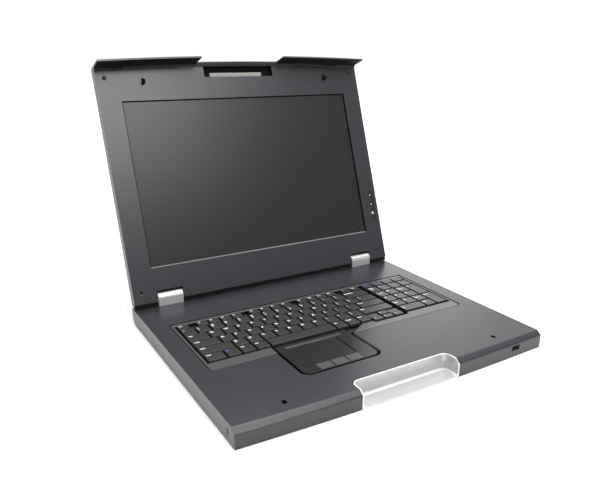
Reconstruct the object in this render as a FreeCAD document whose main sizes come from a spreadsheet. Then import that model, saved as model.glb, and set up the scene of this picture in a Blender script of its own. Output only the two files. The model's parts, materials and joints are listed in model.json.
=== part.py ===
import FreeCAD, Part
import Sketcher
import math
import os
import re

# Rack-mounted console drawer: a shallow tray with a keyboard and a touch pad, and a screen lid on
# two friction hinges.  Millimetres, +X right, +Y to the rear, +Z up.  The origin is the middle of
# the tray's underside.  The lid stands open, at the angle in which it is used.

SIZES = {
    # tray and its cover
    "tray_width": 430.2, "tray_depth": 332.0, "tray_height": 21.9, "front_bow": 5.2,
    "pan_sheet": 1.2, "cover_wall": 1.6, "nose_drop": 4.7, "nose_reach": 6.4, "nose_round": 3.0,
    "ear_round": 14.0, "ear_width": 15.0, "pan_front_gap": 0.3,
    "side_slot_place": 16.5, "side_slot_wide": 2.2, "side_slot_low": 6.0, "side_slot_high": 15.5,
    "slide_hole_inset": 20.1, "slide_hole_along": 110.0, "slide_hole_r": 2.2,
    # silver finger scoop in the front edge
    "scoop_half": 69.5, "scoop_depth": 19.5, "scoop_round": 10.0, "scoop_wall": 1.8, "scoop_floor": 1.8,
    "scoop_gap": 0.2,
    # openings in the cover
    "bay_margin": 6.3, "bay_front": 115.5, "bay_back": 253.5, "bay_round": 8.0,
    "pad_place": -50.5, "pad_bay_half": 54.2, "pad_bay_front": 54.0, "pad_bay_round": 11.0,
    "bay_bevel": 1.4,
    "hook_place": 150.0, "latch_place": 21.6, "latch_hole_wide": 5.0, "latch_hole_ahead": 4.7,
    "latch_hole_behind": 2.0,
    # keyboard
    "key_pitch": 19.05, "key_row_front": 135.5, "key_top": 22.6, "key_tall": 3.2, "key_travel": 2.2,
    "key_gap": 0.4, "key_side_slope": 1.1, "key_front_slope": 1.6, "key_back_slope": 0.6,
    "key_roof": 1.0, "key_socket_gap": 0.3, "key_post": 6.0, "key_post_rim": 5.4,
    "main_left": -184.2, "block_gap": 5.4, "function_pitch": 16.45, "function_gap": 9.75,
    "function_lift": 0.6, "function_deep": 13.8, "arrow_pitch": 16.9, "arrow_deep": 11.4,
    "arrow_drop": 4.7, "plate_top": 16.5, "plate_sheet": 1.2, "membrane_sheet": 0.8,
    "frame_drop": 0.5, "frame_top_wall": 1.5, "frame_gap": 1.6, "frame_skirt": 1.2, "well_gap": 1.6,
    "filler_drop": 1.1, "corner_cut_wide": 26.0, "rail_wide": 12.0, "rail_sheet": 1.2,
    "rail_side_place": 150.0, "rail_middle_place": 30.0, "rail_inset": 4.0, "film_inset": 2.0,
    "plate_front_reach": 3.5, "well_side_extra": 1.4, "post_sink": 0.2, "post_side_gap": 2.2,
    "wide_key": 30.0,
    # touch pad
    "pad_half": 51.4, "pad_front": 56.6, "pad_top_drop": 0.5, "pad_wall": 1.6, "pad_deck": 4.0,
    "pad_back_gap": 2.6, "pad_round": 9.5, "dish_half": 30.5, "dish_front": 74.5, "dish_back": 121.0,
    "dish_drop": 1.5, "surface_sheet": 0.6, "surface_gap": 0.4, "ridge_half": 40.0, "ridge_run": 3.5,
    "ridge_top_run": 5.0, "button_pitch": 20.3, "button_wide": 18.3, "button_deep": 13.0,
    "button_front": 58.9, "button_gap": 0.3, "button_tall": 3.2,
    "button_proud": 0.1, "board_sheet": 1.6, "ridge_proud": 0.2, "pad_room_gap": 0.5,
    "pad_board_inset": 6.0, "pad_board_front": 4.0, "pad_board_rear": 8.0,
    # front port and rear sockets
    "port_inset": 48.1, "port_height": 11.8, "port_wide": 13.2, "port_tall": 5.8, "port_deep": 16.0,
    "port_sheet": 0.5, "port_tongue": 1.9, "port_setback": 1.0, "port_gap": 0.2, "tongue_gap": 0.5,
    "tongue_side_gap": 1.4, "port_stand_half": 4.0,
    "video_place": -84.0, "video_wide": 31.0, "video_tall": 12.4, "video_deep": 14.0,
    "video_proud": 5.0, "throat_half": 8.2, "throat_spread": 1.0, "throat_low": 2.4,
    "throat_below_top": 2.2, "throat_round": 1.5, "throat_wall": 0.6,
    "upload_place": -36.0, "upload_wide": 12.0, "upload_tall": 10.8, "upload_deep": 16.0,
    "upload_wall": 1.6, "mouth_deep": 9.0, "upload_tongue_half": 2.6, "upload_tongue_inset": 4.0,
    "inlet_place": 92.0, "inlet_wide": 9.4, "inlet_tall": 11.0, "inlet_deep": 14.0,
    "inlet_bore": 3.2, "inlet_pin": 1.0, "bore_deep": 10.0, "pin_setback": 1.5,
    "socket_gap": 0.3, "socket_lift": 4.4, "socket_proud": 0.4,
    # boards in the tray
    "stand_off": 4.4, "main_board_left": -132.0, "main_board_right": 2.0, "board_deep": 70.0,
    "power_board_left": 22.0, "power_board_right": 132.0, "foot_radius": 2.5, "foot_inset": 6.0,
    "foot_rear_inset": 24.0, "board_rear_gap": 0.4, "keyboard_lead_place": 70.0,
    "keyboard_lead_reach": 22.0, "lead_bend": 4.0,
    # screws that hold the cover
    "cover_screw_r": 1.5, "cover_screw_head": 2.8, "cover_screw_inset": 9.0, "cover_screw_long": 10.0,
    "screw_row_front": 34.0, "screw_row_middle": 105.0, "screw_row_rear": 42.0, "post_wall": 1.5,
    # hinges
    "hinge_from_back": 8.6, "hinge_height": 30.35, "open_angle": 109.9, "hinge_inset": 2.6,
    "hinge_drop": 4.05, "pin_radius": 1.75, "pin_fit": 0.05, "barrel_radius": 3.6, "hood_inset": 52.1,
    "hood_half": 17.8, "hood_deep": 14.0, "hood_centre": 32.5, "hood_wall": 1.0,
    "bracket_wide": 18.0, "bracket_sheet": 3.0, "bracket_foot": 32.0, "bracket_gap": 0.5,
    "leaf_gap": 3.2, "leaf_wide": 13.0, "leaf_radius": 3.2, "leaf_sheet": 1.8, "leaf_low": 34.0,
    "leaf_high": 60.0, "leaf_clear": 0.15, "leaf_pad_low": 14.0, "leaf_pad_high": 30.0,
    "hood_side_gap": 1.5, "fairing_deep": 7.0, "fairing_gap": 0.5,
    # lid
    "lid_side_set": 0.45, "lid_front_set": 3.0, "lid_thick": 14.0, "flange_reach": 26.0,
    "shell_wall": 1.0, "bezel_wall": 2.0, "lining_wall": 1.4, "cove_round": 6.0, "lid_back_round": 3.0,
    "notch_half": 67.0, "notch_lip": 1.5, "hood_notch_tall": 15.0, "hood_notch_back": 9.6,
    "window_half": 184.1, "window_low": 46.9, "window_tall": 233.1, "window_slope": 1.5,
    "window_deep": 2.5, "window_rim": 2.0, "glass_sheet": 1.0, "panel_lap": 7.0, "panel_thick": 6.8,
    "panel_gap": 0.2, "rail_thick": 2.2, "rail_lip": 10.0, "rail_end_gap": 4.0,
    "pocket_half": 57.0, "pocket_start": 17.5, "pocket_end": 1.5, "pocket_deep": 8.2,
    "pocket_wall": 1.2, "pocket_flange": 1.4, "grip_left": 46.0, "grip_right": 40.0,
    "grip_start": 16.4, "grip_end": 10.0, "grip_drop": 6.0, "grip_slope": 1.2, "grip_end_gap": 0.5,
    "tongue_inset": 4.0, "latch_travel": 2.5, "hook_wide": 3.0, "hook_shank": 2.5, "hook_toe": 3.0,
    "hook_reach": 7.5, "hook_toe_thick": 1.2, "hook_gap": 0.4, "bar_half": 155.0, "bar_start": 33.0,
    "bar_end": 22.5, "bar_sheet": 1.5, "bar_drop": 6.4, "bar_play": 0.3, "bar_rib_place": 100.0,
    "bar_rib_half": 10.0, "plug_inset": 12.6, "plug_low": 15.9, "plug_below_edge": 16.6,
    "plug_sunk": 0.35, "plug_radius": 3.2, "plug_deep": 1.2, "screw_radius": 1.5, "screw_play": 0.05,
    "boss_radius": 4.2, "control_inset": 11.7, "control_low": 76.8, "control_pitch": 15.0,
    "control_radius": 2.3, "control_gap": 0.25, "control_collar": 3.4, "control_collar_thick": 0.8,
    "control_travel": 0.5, "control_proud": 0.5, "recess_half": 4.0, "recess_deep": 0.8,
    "recess_below": 4.6, "recess_above": 7.0, "lamp_along": 68.6, "lamp_radius": 1.0,
    "control_board_half": 6.5, "control_board_margin": 6.0, "lid_board_half": 62.0,
    "lid_board_low": 8.0, "lid_board_tall": 26.0, "lid_board_lift": 2.4, "inverter_gap": 8.0,
    "inverter_long": 58.0, "inverter_tall": 18.0, "chip_high": 3.0, "lead_wide": 12.0,
    "lead_long": 30.0, "lead_thick": 1.0, "rib_inset": 3.0, "rib_wide": 6.0,
}

# Sizes that follow from those above, so that pieces which keep together move together.
FOLLOWING = {
    "bay_half": "bay_margin - main_left",
    "slide_hole_side": "tray_width / 2 - slide_hole_inset",
    "port_place": "tray_width / 2 - port_inset",
    "latch_hole_front": "latch_place - latch_hole_ahead",
    "latch_hole_back": "latch_place + latch_hole_behind",
    "board_front": "tray_depth - board_deep",
    "hinge_back": "tray_depth - hinge_from_back",
    "hood_front": "tray_depth - hood_deep",
    "hood_place": "tray_width / 2 - hood_inset",
    "leaf_side": "hood_place + hood_half + leaf_gap",
    "lid_width": "tray_width - 2 * lid_side_set",
    "lid_height": "tray_depth - lid_front_set",
    "plug_side": "tray_width / 2 - plug_inset",
    "plug_high": "lid_height - plug_below_edge",
    "control_side": "tray_width / 2 - control_inset",
    "panel_half": "window_half + panel_lap",
    "panel_low": "window_low - panel_lap",
    "panel_tall": "window_tall + 2 * panel_lap",
    "pocket_low": "lid_height - pocket_start",
    "pocket_high": "lid_height - pocket_end",
    "grip_low": "lid_height - grip_start",
    "grip_high": "lid_height - grip_end",
    "bar_low": "lid_height - bar_start",
    "bar_high": "lid_height - bar_end",
    "hook_along": "hinge_back + hinge_inset - latch_place",
}

doc = FreeCAD.newDocument("ConsoleDrawer")
sheet = doc.addObject("Spreadsheet::Sheet", "Sizes")
entries = [(alias, str(number)) for alias, number in SIZES.items()]
entries += [(alias, "=" + formula) for alias, formula in FOLLOWING.items()]
for row, (alias, content) in enumerate(entries, start=1):
    sheet.set("A%d" % row, alias)
    sheet.set("B%d" % row, content)
    sheet.setAlias("B%d" % row, alias)
doc.recompute()

# Lengths that several pieces share, each worked out from the sheet.
FRONT = "(-tray_depth / 2)"
BOW_RADIUS = "((tray_width ^ 2 / 4 + front_bow ^ 2) / (2 * front_bow))"
COVER_UNDER = "(tray_height - cover_wall)"
WELL_FRONT = "(key_row_front - well_gap)"
MAIN_RIGHT = "(main_left + 15 * key_pitch)"
PAD_LEFT = "(main_left + 15 * key_pitch + block_gap)"
PAD_RIGHT = "(main_left + 19 * key_pitch + block_gap)"
KEYS_BACK = "(key_row_front + 5 * key_pitch + function_lift + function_deep)"
ARROWS_LEFT = "(main_left + 15 * key_pitch - 3 * arrow_pitch)"
MEMBRANE_UNDER = "(plate_top - plate_sheet - membrane_sheet)"
PAD_TOP = "(tray_height - pad_top_drop)"
DISH_FLOOR = "(tray_height - pad_top_drop - dish_drop)"
LID_FOOT = "(-hinge_inset)"
SHELL_BACK = "(hinge_drop - lid_thick)"


def sized(text):
    """The same expression with each size read from the sheet."""
    known = SIZES.keys() | FOLLOWING.keys()
    return re.sub(r"[a-z][a-z_]+", lambda word: "Sizes." + word.group() if word.group() in known
                  else word.group(), str(text))


def value(text):
    """What an expression of sizes comes to now."""
    return float(sheet.evalExpression(sized(text)))


def bind(thing, **settings):
    """Bind properties to expressions; two underlines stand for a dot."""
    for name, text in settings.items():
        thing.setExpression(name.replace("__", "."), sized(text))
    return thing


def block(name, across, along, up):
    """A box between two places in X, in Y and in Z."""
    box = doc.addObject("Part::Box", name)
    sides = zip(("Length", "Width", "Height"), "xyz", (across, along, up))
    for size, axis, (low, high) in sides:
        box.setExpression(size, sized("(%s) - (%s)" % (high, low)))
        box.setExpression("Placement.Base." + axis, sized(low))
    return box


def rod(name, centre, radius, length, axis="z"):
    """A round bar that starts at a point and runs along one axis."""
    bar = doc.addObject("Part::Cylinder", name)
    turn = {"x": ((0, 1, 0), 90), "y": ((1, 0, 0), -90), "z": ((0, 0, 1), 0)}[axis]
    bar.Placement.Rotation = FreeCAD.Rotation(FreeCAD.Vector(*turn[0]), turn[1])
    bind(bar, Radius=radius, Height=length)
    for letter, place in zip("xyz", centre):
        bar.setExpression("Placement.Base." + letter, sized(place))
    return bar


def joined(name, *pieces):
    """One solid made of several that touch or overlap."""
    whole = doc.addObject("Part::MultiFuse", name)
    whole.Shapes = list(pieces)
    return whole


def common(name, *pieces):
    """What several solids have in common."""
    shared = doc.addObject("Part::MultiCommon", name)
    shared.Shapes = list(pieces)
    return shared


def cut(name, base, *tools):
    """A solid with the tools taken out of it."""
    result = doc.addObject("Part::Cut", name)
    result.Base = base
    result.Tool = tools[0] if len(tools) == 1 else joined(name + "_tools", *tools)
    return result


def group(name, *pieces):
    """Separate solids that share one node."""
    several = doc.addObject("Part::Compound", name)
    several.Links = list(pieces)
    return several


def mirrored(name, source):
    """The same piece on the other side of the middle plane."""
    twin = doc.addObject("Part::Mirroring", name)
    twin.Source = source
    twin.Normal = FreeCAD.Vector(1, 0, 0)
    return twin


def plane_of(body, role):
    """An origin plane of a body."""
    return next(item for item in body.Origin.OriginFeatures if item.Role == role)


def outline(body, role, name, corners, offset="0"):
    """A closed sketch through the corners, each (across, up) or (across, up, radius)."""
    sketch = body.newObject("Sketcher::SketchObject", name)
    sketch.AttachmentSupport = (plane_of(body, role), [""])
    sketch.MapMode = "FlatFace"
    sketch.setExpression("AttachmentOffset.Base.z", sized(offset))
    spots = [FreeCAD.Vector(value(corner[0]), value(corner[1]), 0) for corner in corners]
    radii = [value(corner[2]) if len(corner) > 2 else 0.0 for corner in corners]
    draw_corners(sketch, corners, spots, radii)
    return sketch


def draw_corners(sketch, corners, spots, radii):
    """Lines between the corners, arcs where a corner has a radius, and what holds them."""
    count = len(spots)
    ends = []
    for index, spot in enumerate(spots):
        before = (spots[index - 1] - spot).normalize()
        after = (spots[(index + 1) % count] - spot).normalize()
        half = before.getAngle(after) / 2
        back = radii[index] / math.tan(half) if radii[index] else 0.0
        ends.append((spot + before * back, spot + after * back, before, after, half))
    lines = []
    for index in range(count):
        start, stop = ends[index][1], ends[(index + 1) % count][0]
        lines.append(sketch.addGeometry(Part.LineSegment(start, stop), False))
    rules = []
    for index, corner in enumerate(corners):
        arriving, leaving = lines[index - 1], lines[index]
        if radii[index]:
            held = round_corner(sketch, rules, arriving, leaving, spots[index], ends[index], radii[index])
            rules.append((Sketcher.Constraint("Radius", held[1], radii[index]), corner[2]))
            point = (held[0], 1)
        else:
            rules.append((Sketcher.Constraint("Coincident", arriving, 2, leaving, 1), None))
            point = (leaving, 1)
        for kind, text, place in (("DistanceX", corner[0], spots[index].x),
                                  ("DistanceY", corner[1], spots[index].y)):
            rules.append((Sketcher.Constraint(kind, -1, 1, point[0], point[1], place), text))
    for rule, text in rules:
        number = sketch.addConstraint(rule)
        if text is not None:
            sketch.setExpression("Constraints[%d]" % number, sized(text))


def round_corner(sketch, rules, arriving, leaving, spot, end, radius):
    """An arc between two lines, with a point kept where the lines would meet."""
    first, last, before, after, half = end
    middle = spot + (before + after).normalize() * (radius / math.sin(half))
    turns_left = after.cross(before).z > 0
    low, high = (first, last) if turns_left else (last, first)
    angles = [math.atan2(place.y - middle.y, place.x - middle.x) for place in (low, high)]
    if angles[1] < angles[0]:
        angles[1] += 2 * math.pi
    circle = Part.Circle(middle, FreeCAD.Vector(0, 0, 1), radius)
    arc = sketch.addGeometry(Part.ArcOfCircle(circle, *angles), False)
    start, stop = (1, 2) if turns_left else (2, 1)
    rules.append((Sketcher.Constraint("Tangent", arriving, 2, arc, start), None))
    rules.append((Sketcher.Constraint("Tangent", arc, stop, leaving, 1), None))
    point = sketch.addGeometry(Part.Point(spot), True)
    rules.append((Sketcher.Constraint("PointOnObject", point, 1, arriving), None))
    rules.append((Sketcher.Constraint("PointOnObject", point, 1, leaving), None))
    return point, arc


def padded(name, role, corners, low, high):
    """A body: the outline drawn on an origin plane, as thick as from low to high."""
    body = doc.addObject("PartDesign::Body", name)
    start = "-(%s)" % high if role == "XZ_Plane" else low
    sketch = outline(body, role, name + "_outline", corners, start)
    pad = body.newObject("PartDesign::Pad", name + "_pad")
    pad.Profile = sketch
    bind(pad, Length="(%s) - (%s)" % (high, low))
    return body


def bowed(name, corners, centre, half_angle="4 deg"):
    """A body: a cross-section in Y and Z swung about the far-off centre of the bowed front."""
    body = doc.addObject("PartDesign::Body", name)
    sketch = outline(body, "YZ_Plane", name + "_outline", corners)
    axis = sketch.addGeometry(Part.LineSegment(FreeCAD.Vector(value(centre), 0, 0),
                                               FreeCAD.Vector(value(centre), 10, 0)), True)
    sketch.addConstraint(Sketcher.Constraint("Vertical", axis))
    sketch.addConstraint(Sketcher.Constraint("DistanceY", -1, 1, axis, 1, 0))
    sketch.addConstraint(Sketcher.Constraint("DistanceY", -1, 1, axis, 2, 10))
    number = sketch.addConstraint(Sketcher.Constraint("DistanceX", -1, 1, axis, 1, value(centre)))
    sketch.setExpression("Constraints[%d]" % number, sized(centre))
    turn = body.newObject("PartDesign::Revolution", name + "_turn")
    turn.Profile = sketch
    turn.ReferenceAxis = (sketch, ["Axis0"])
    turn.Midplane = True
    bind(turn, Angle="2 * (%s)" % half_angle)
    return body


def on_lid(piece):
    """Stand a piece that is drawn around the hinge axis up in the open lid."""
    holder = group(piece.Name + "_in_lid", piece)
    holder.Placement.Rotation = FreeCAD.Rotation(FreeCAD.Vector(1, 0, 0), 70)
    bind(holder, Placement__Rotation__Angle="180 deg - open_angle * 1 deg",
         Placement__Base__y=FRONT + " + hinge_back", Placement__Base__z="hinge_height")
    return holder


NODES = {}


def keep(label, piece, lid=False):
    """Name a finished sub-part; its label is its file's name."""
    NODES[label] = on_lid(piece) if lid else piece


def back(text):
    """A place measured to the rear from the front edge."""
    return "(%s + %s)" % (FRONT, text)


def up(text):
    """A place measured up the lid from its foot."""
    return "(%s - hinge_inset)" % text


def out(text):
    """A place measured out from the lid's face."""
    return "(hinge_drop + %s)" % text


# ---------------------------------------------------------------- tray and cover


def base_pan():
    """Folded sheet tray: floor, two side walls with rounded rear ears, rear and front walls."""
    half, top = "tray_width / 2", COVER_UNDER
    floor = padded("pan_floor", "XY_Plane", [
        ("-(%s)" % half, FRONT), (half, FRONT), (half, back("tray_depth - ear_round")),
        ("%s - ear_width" % half, back("tray_depth")), ("-(%s) + ear_width" % half, back("tray_depth")),
        ("-(%s)" % half, back("tray_depth - ear_round"))], "0", "pan_sheet")
    bow = "(%s)" % BOW_RADIUS
    disc = rod("pan_bow", ("0", "%s - front_bow + %s" % (FRONT, bow), "0"),
               "%s - cover_wall - pan_front_gap" % bow, "pan_sheet")
    apron = block("pan_apron", ("-(%s)" % half, half), (FRONT + " - front_bow", FRONT),
                  ("0", "pan_sheet"))
    trimmed = common("pan_floor_bowed", joined("pan_floor_whole", floor, apron), disc)
    side = padded("pan_side", "YZ_Plane", [
        (back("cover_wall + pan_front_gap"), "0"), (back("tray_depth"), "0", "ear_round"),
        (back("tray_depth"), top), (back("nose_reach + cover_wall"), top),
        (back("cover_wall + pan_front_gap"), "tray_height - nose_drop - cover_wall")],
        "%s - pan_sheet" % half, half)
    other = mirrored("pan_side_left", side)
    rear = block("pan_rear", ("-(%s) + ear_width" % half, "%s - ear_width" % half),
                 (back("tray_depth - pan_sheet"), back("tray_depth")), ("0", top))
    slots = side_slots()
    holes = rear_holes()
    screw_holes = flat_heads("pan_hole", "cover_screw_r", "cover_screw_head + screw_play")
    scoop = scoop_block("pan_scoop_clear", "scoop_half + scoop_gap", "scoop_depth + scoop_gap",
                        "-1", "pan_sheet + 1", "scoop_round")
    slide_holes = [rod("slide_hole_%s%s" % (a, b), (x, y, "-1"), "slide_hole_r", "pan_sheet + 2")
                   for a, x in (("l", "-slide_hole_side"), ("r", "slide_hole_side"))
                   for b, y in (("f", "-slide_hole_along"), ("b", "slide_hole_along"))]
    whole = joined("pan_folded", trimmed, side, other, rear)
    keep("base_pan", cut("base_pan_shape", whole, *slots, *holes, *screw_holes,
                         *slide_holes, scoop))


def side_slots():
    """The upright slot near the front of each side wall, where the rack slide's latch enters."""
    places = (("right", "tray_width / 2 - 2 * pan_sheet", "tray_width / 2 + 1"),
              ("left", "-(tray_width / 2) - 1", "-(tray_width / 2) + 2 * pan_sheet"))
    along = (back("side_slot_place - side_slot_wide / 2"), back("side_slot_place + side_slot_wide / 2"))
    return [block("side_slot_" + name, (low, high), along, ("side_slot_low", "side_slot_high"))
            for name, low, high in places]


def rear_holes():
    """Openings in the rear wall for the three sockets."""
    return [block("rear_hole_" + name,
                  ("%s_place - %s_wide / 2 - socket_gap" % (name, name),
                   "%s_place + %s_wide / 2 + socket_gap" % (name, name)),
                  (back("tray_depth - pan_sheet - 1"), back("tray_depth + 1")),
                  ("socket_lift + pan_sheet - socket_gap",
                   "socket_lift + pan_sheet + %s_tall + socket_gap" % name))
            for name in ("video", "upload", "inlet")]


def screw_places():
    """Where the screws come up through the floor into the cover's posts."""
    side = "tray_width / 2 - cover_screw_inset"
    rows = (back("screw_row_front"), back("screw_row_middle"), back("tray_depth - screw_row_rear"))
    return [("%s(%s)" % (sign, side), row) for sign in ("-", "") for row in rows]


def cover_posts():
    """Posts under the cover, each with a hole for its screw."""
    posts, holes = [], []
    for number, (x, y) in enumerate(screw_places()):
        posts.append(rod("cover_post_%d" % number, (x, y, "pan_sheet"), "cover_screw_r + post_wall",
                         COVER_UNDER + " - pan_sheet"))
        holes.append(rod("cover_post_hole_%d" % number, (x, y, "0"), "cover_screw_r",
                         "cover_screw_long + pan_sheet"))
    return posts, holes


def flat_heads(name, radius, wide):
    """Cones in the floor's thickness, one at each screw: the heads, or what they sit in."""
    heads = []
    for number, (x, y) in enumerate(screw_places()):
        head = doc.addObject("Part::Cone", "%s_%d" % (name, number))
        bind(head, Radius1=wide, Radius2=radius, Height="pan_sheet", Placement__Base__x=x,
             Placement__Base__y=y)
        heads.append(head)
    return heads


def cover_screws():
    """Flat-head screws from below, flush with the tray's underside."""
    heads = flat_heads("cover_screw_head", "cover_screw_r - screw_play", "cover_screw_head")
    shanks = [rod("cover_screw_shank_%d" % number, (x, y, "pan_sheet / 2"),
                  "cover_screw_r - screw_play", "cover_screw_long - pan_sheet / 2")
              for number, (x, y) in enumerate(screw_places())]
    screws = [joined("cover_screw_%d" % number, head, shank)
              for number, (head, shank) in enumerate(zip(heads, shanks))]
    keep("cover_screws", group("cover_screw_group", *screws))


def scoop_block(name, half, deep, low, high, radius):
    """The scoop's plan, open at the front and with rounded rear corners."""
    return padded(name, "XY_Plane", [
        ("-(%s)" % half, FRONT + " - 2 * front_bow"), (half, FRONT + " - 2 * front_bow"),
        (half, back(deep), radius), ("-(%s)" % half, back(deep), radius)], low, high)


def top_cover():
    """Charcoal cover: flat deck, sloped nose and front face, bowed in plan, in one wall."""
    nose = FRONT + " - front_bow"
    wall, top = "cover_wall", "tray_height"
    end = back("tray_depth + 20")
    skin = bowed("cover_skin", [
        (nose, "0.2"), (nose, "%s - nose_drop" % top, "nose_round"),
        (nose + " + nose_reach", top, "nose_round"), (end, top), (end, "%s - %s" % (top, wall)),
        (nose + " + nose_reach + 0.4 * cover_wall", "%s - %s" % (top, wall)),
        (nose + " + " + wall, "%s - nose_drop - 0.6 * cover_wall" % top), (nose + " + " + wall, "0.2")],
        "%s + %s" % (nose, BOW_RADIUS))
    foot = block("cover_foot", ("-(tray_width / 2)", "tray_width / 2"),
                 (FRONT + " - 2 * front_bow", back("tray_depth")), ("0", top))
    trimmed = common("cover_trimmed", skin, foot)
    posts, holes = cover_posts()
    bay = padded("cover_bay", "XY_Plane", [
        ("-bay_half", back("bay_front"), "bay_round"), ("pad_place - pad_bay_half", back("bay_front")),
        ("pad_place - pad_bay_half", back("pad_bay_front"), "pad_bay_round"),
        ("pad_place + pad_bay_half", back("pad_bay_front"), "pad_bay_round"),
        ("pad_place + pad_bay_half", back("bay_front")), ("bay_half", back("bay_front"), "bay_round"),
        ("bay_half", back("bay_back")), ("-bay_half", back("bay_back"))],
        COVER_UNDER + " - 2", top + " + 1")
    bevel = padded("cover_bay_bevel", "XY_Plane", [
        ("pad_place - pad_bay_half", back("pad_bay_front"), "pad_bay_round"),
        ("pad_place + pad_bay_half", back("pad_bay_front"), "pad_bay_round"),
        ("pad_place + pad_bay_half", back("bay_front + 2")),
        ("pad_place - pad_bay_half", back("bay_front + 2"))],
        top + " - bay_bevel", top + " + 0.1")
    doc.getObject("cover_bay_bevel_pad").TaperAngle = 45
    scoop = scoop_block("cover_scoop", "scoop_half", "scoop_depth", "-1", top + " + 1", "scoop_round")
    clear = []
    for sign, name in (("-", "left"), ("", "right")):
        middle = "%shook_place" % sign
        clear.append(block("cover_latch_" + name, ("%s - latch_hole_wide / 2" % middle,
                                                   "%s + latch_hole_wide / 2" % middle),
                           (back("latch_hole_front"), back("latch_hole_back")),
                           (COVER_UNDER + " - 1", top + " + 1")))
        middle = "%shood_place" % sign
        clear.append(block("cover_hinge_" + name, ("%s - bracket_wide / 2 - bracket_gap" % middle,
                                                   "%s + bracket_wide / 2 + bracket_gap" % middle),
                           (back("hood_front + hood_wall"), back("tray_depth - 2 * hood_wall")),
                           (COVER_UNDER + " - 1", top + " + 1")))
    port = block("cover_port", ("port_place - port_wide / 2 - port_gap",
                                "port_place + port_wide / 2 + port_gap"),
                 (FRONT + " - 2 * front_bow", back("2 * cover_wall")),
                 ("port_height - port_tall / 2 - port_gap", "port_height + port_tall / 2 + port_gap"))
    whole = joined("cover_whole", trimmed, *posts)
    keep("top_cover", cut("top_cover_shape", whole, bay, bevel, scoop, port, *clear, *holes))


def handle_insert():
    """Silver liner of the finger scoop: a floor and one bent wall."""
    low, top = "0.2", "tray_height + 0.1"
    outer = scoop_block("liner_outer", "scoop_half - scoop_gap", "scoop_depth - scoop_gap", low, top,
                        "scoop_round - scoop_gap")
    inner = scoop_block("liner_inner", "scoop_half - scoop_gap - scoop_wall",
                        "scoop_depth - scoop_gap - scoop_wall", low + " + scoop_floor", top + " + 1",
                        "scoop_round - scoop_gap - scoop_wall")
    nose = FRONT + " - front_bow"
    limits = bowed("liner_limits", [
        (nose, "0"), (nose, "tray_height - nose_drop", "nose_round"),
        (nose + " + nose_reach", top + " + 0.02", "nose_round"), (back("tray_depth"), top + " + 0.02"),
        (back("tray_depth"), "0")], "%s + %s" % (nose, BOW_RADIUS))
    keep("handle_insert", common("handle_insert_shape", cut("liner", outer, inner), limits))


# ---------------------------------------------------------------- keyboard


# Widths along each row of the main block in key pitches, from the front row to the back; the last
# key fills what is left of the row, and is of the group that is named last.
MAIN_ROWS = (
    ("keys_control_row", [1.33, 1, 1, 1, 5.03, 1, 1], "keys_control_row"),
    ("keys_lower_row", [2.33] + [1] * 10, "keys_lower_row"),
    ("keys_home_row", [1.84] + [1] * 11, "enter_key"),
    ("keys_upper_row", [1.5] + [1] * 12, "keys_upper_row"),
    ("keys_number_row", [1] * 13, "keys_number_row"),
)
SPACE_BAR_INDEX = 4
FUNCTION_SETS = (1, 4, 4, 4, 2)
NUMBER_PAD_ROWS = ([2, 1], [1, 1, 1], [1, 1, 1], [1, 1, 1], [1, 1, 1, 1])
TALL_KEY_ROWS = (0, 2)


def main_block():
    """The keys of the main block as (group, left, right, front, back)."""
    pitch, front = value("key_pitch"), value(back("key_row_front"))
    cells = []
    for number, (label, widths, last_label) in enumerate(MAIN_ROWS):
        sides = (front + number * pitch, front + (number + 1) * pitch)
        place = value("main_left")
        for index, width in enumerate(widths):
            is_space = number == 0 and index == SPACE_BAR_INDEX
            cells.append(("space_bar" if is_space else label, place, place + width * pitch, *sides))
            place += width * pitch
        end = value(ARROWS_LEFT if number == 0 else MAIN_RIGHT)
        cells.append((last_label, place, end, *sides))
    return cells


def number_pad():
    """The keys of the number pad, with two tall ones in its last column."""
    pitch, front, left = value("key_pitch"), value(back("key_row_front")), value(PAD_LEFT)
    cells = []
    for number, widths in enumerate(NUMBER_PAD_ROWS):
        place = left
        for width in widths:
            cells.append(("keys_number_pad", place, place + width * pitch, front + number * pitch,
                          front + (number + 1) * pitch))
            place += width * pitch
    for number in TALL_KEY_ROWS:
        cells.append(("keys_number_pad", left + 3 * pitch, left + 4 * pitch, front + number * pitch,
                      front + (number + 2) * pitch))
    return cells


def function_row():
    """The shallow keys of the back row, in sets with gaps, and four over the number pad."""
    step, pitch = value("function_pitch"), value("key_pitch")
    sides = [value(back(KEYS_BACK)) - value("function_deep"), value(back(KEYS_BACK))]
    place, lefts = value("main_left"), []
    for count in FUNCTION_SETS:
        lefts += [(place + index * step, step) for index in range(count)]
        place += count * step + value("function_gap")
    lefts += [(value(PAD_LEFT) + column * pitch, pitch) for column in range(4)]
    return [("keys_function_row", left, left + wide, *sides) for left, wide in lefts]


def arrows():
    """Three arrow keys in line and one behind the middle one."""
    step, deep, left = value("arrow_pitch"), value("arrow_deep"), value(ARROWS_LEFT)
    low = value(back("key_row_front - arrow_drop"))
    places = [(column, low) for column in range(3)] + [(1, low + deep)]
    return [("arrow_keys", left + column * step, left + (column + 1) * step, front, front + deep)
            for column, front in places]


def key_cells():
    """Every key of the keyboard."""
    return main_block() + number_pad() + function_row() + arrows()


def key_post(cell):
    """Plan of the guide post under a key: left, right, front, back."""
    _, left, right, front, rear = cell
    size, gap = value("key_post"), value("key_gap")
    long = right - left - 2 * value("key_post_rim") - 2 * gap
    wide = long if right - left > value("wide_key") else size
    deep = min(size, rear - front - 2 * gap - 2 * value("post_side_gap"))
    middle, centre = (left + right) / 2, (front + rear) / 2
    return middle - wide / 2, middle + wide / 2, centre - deep / 2, centre + deep / 2


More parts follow.
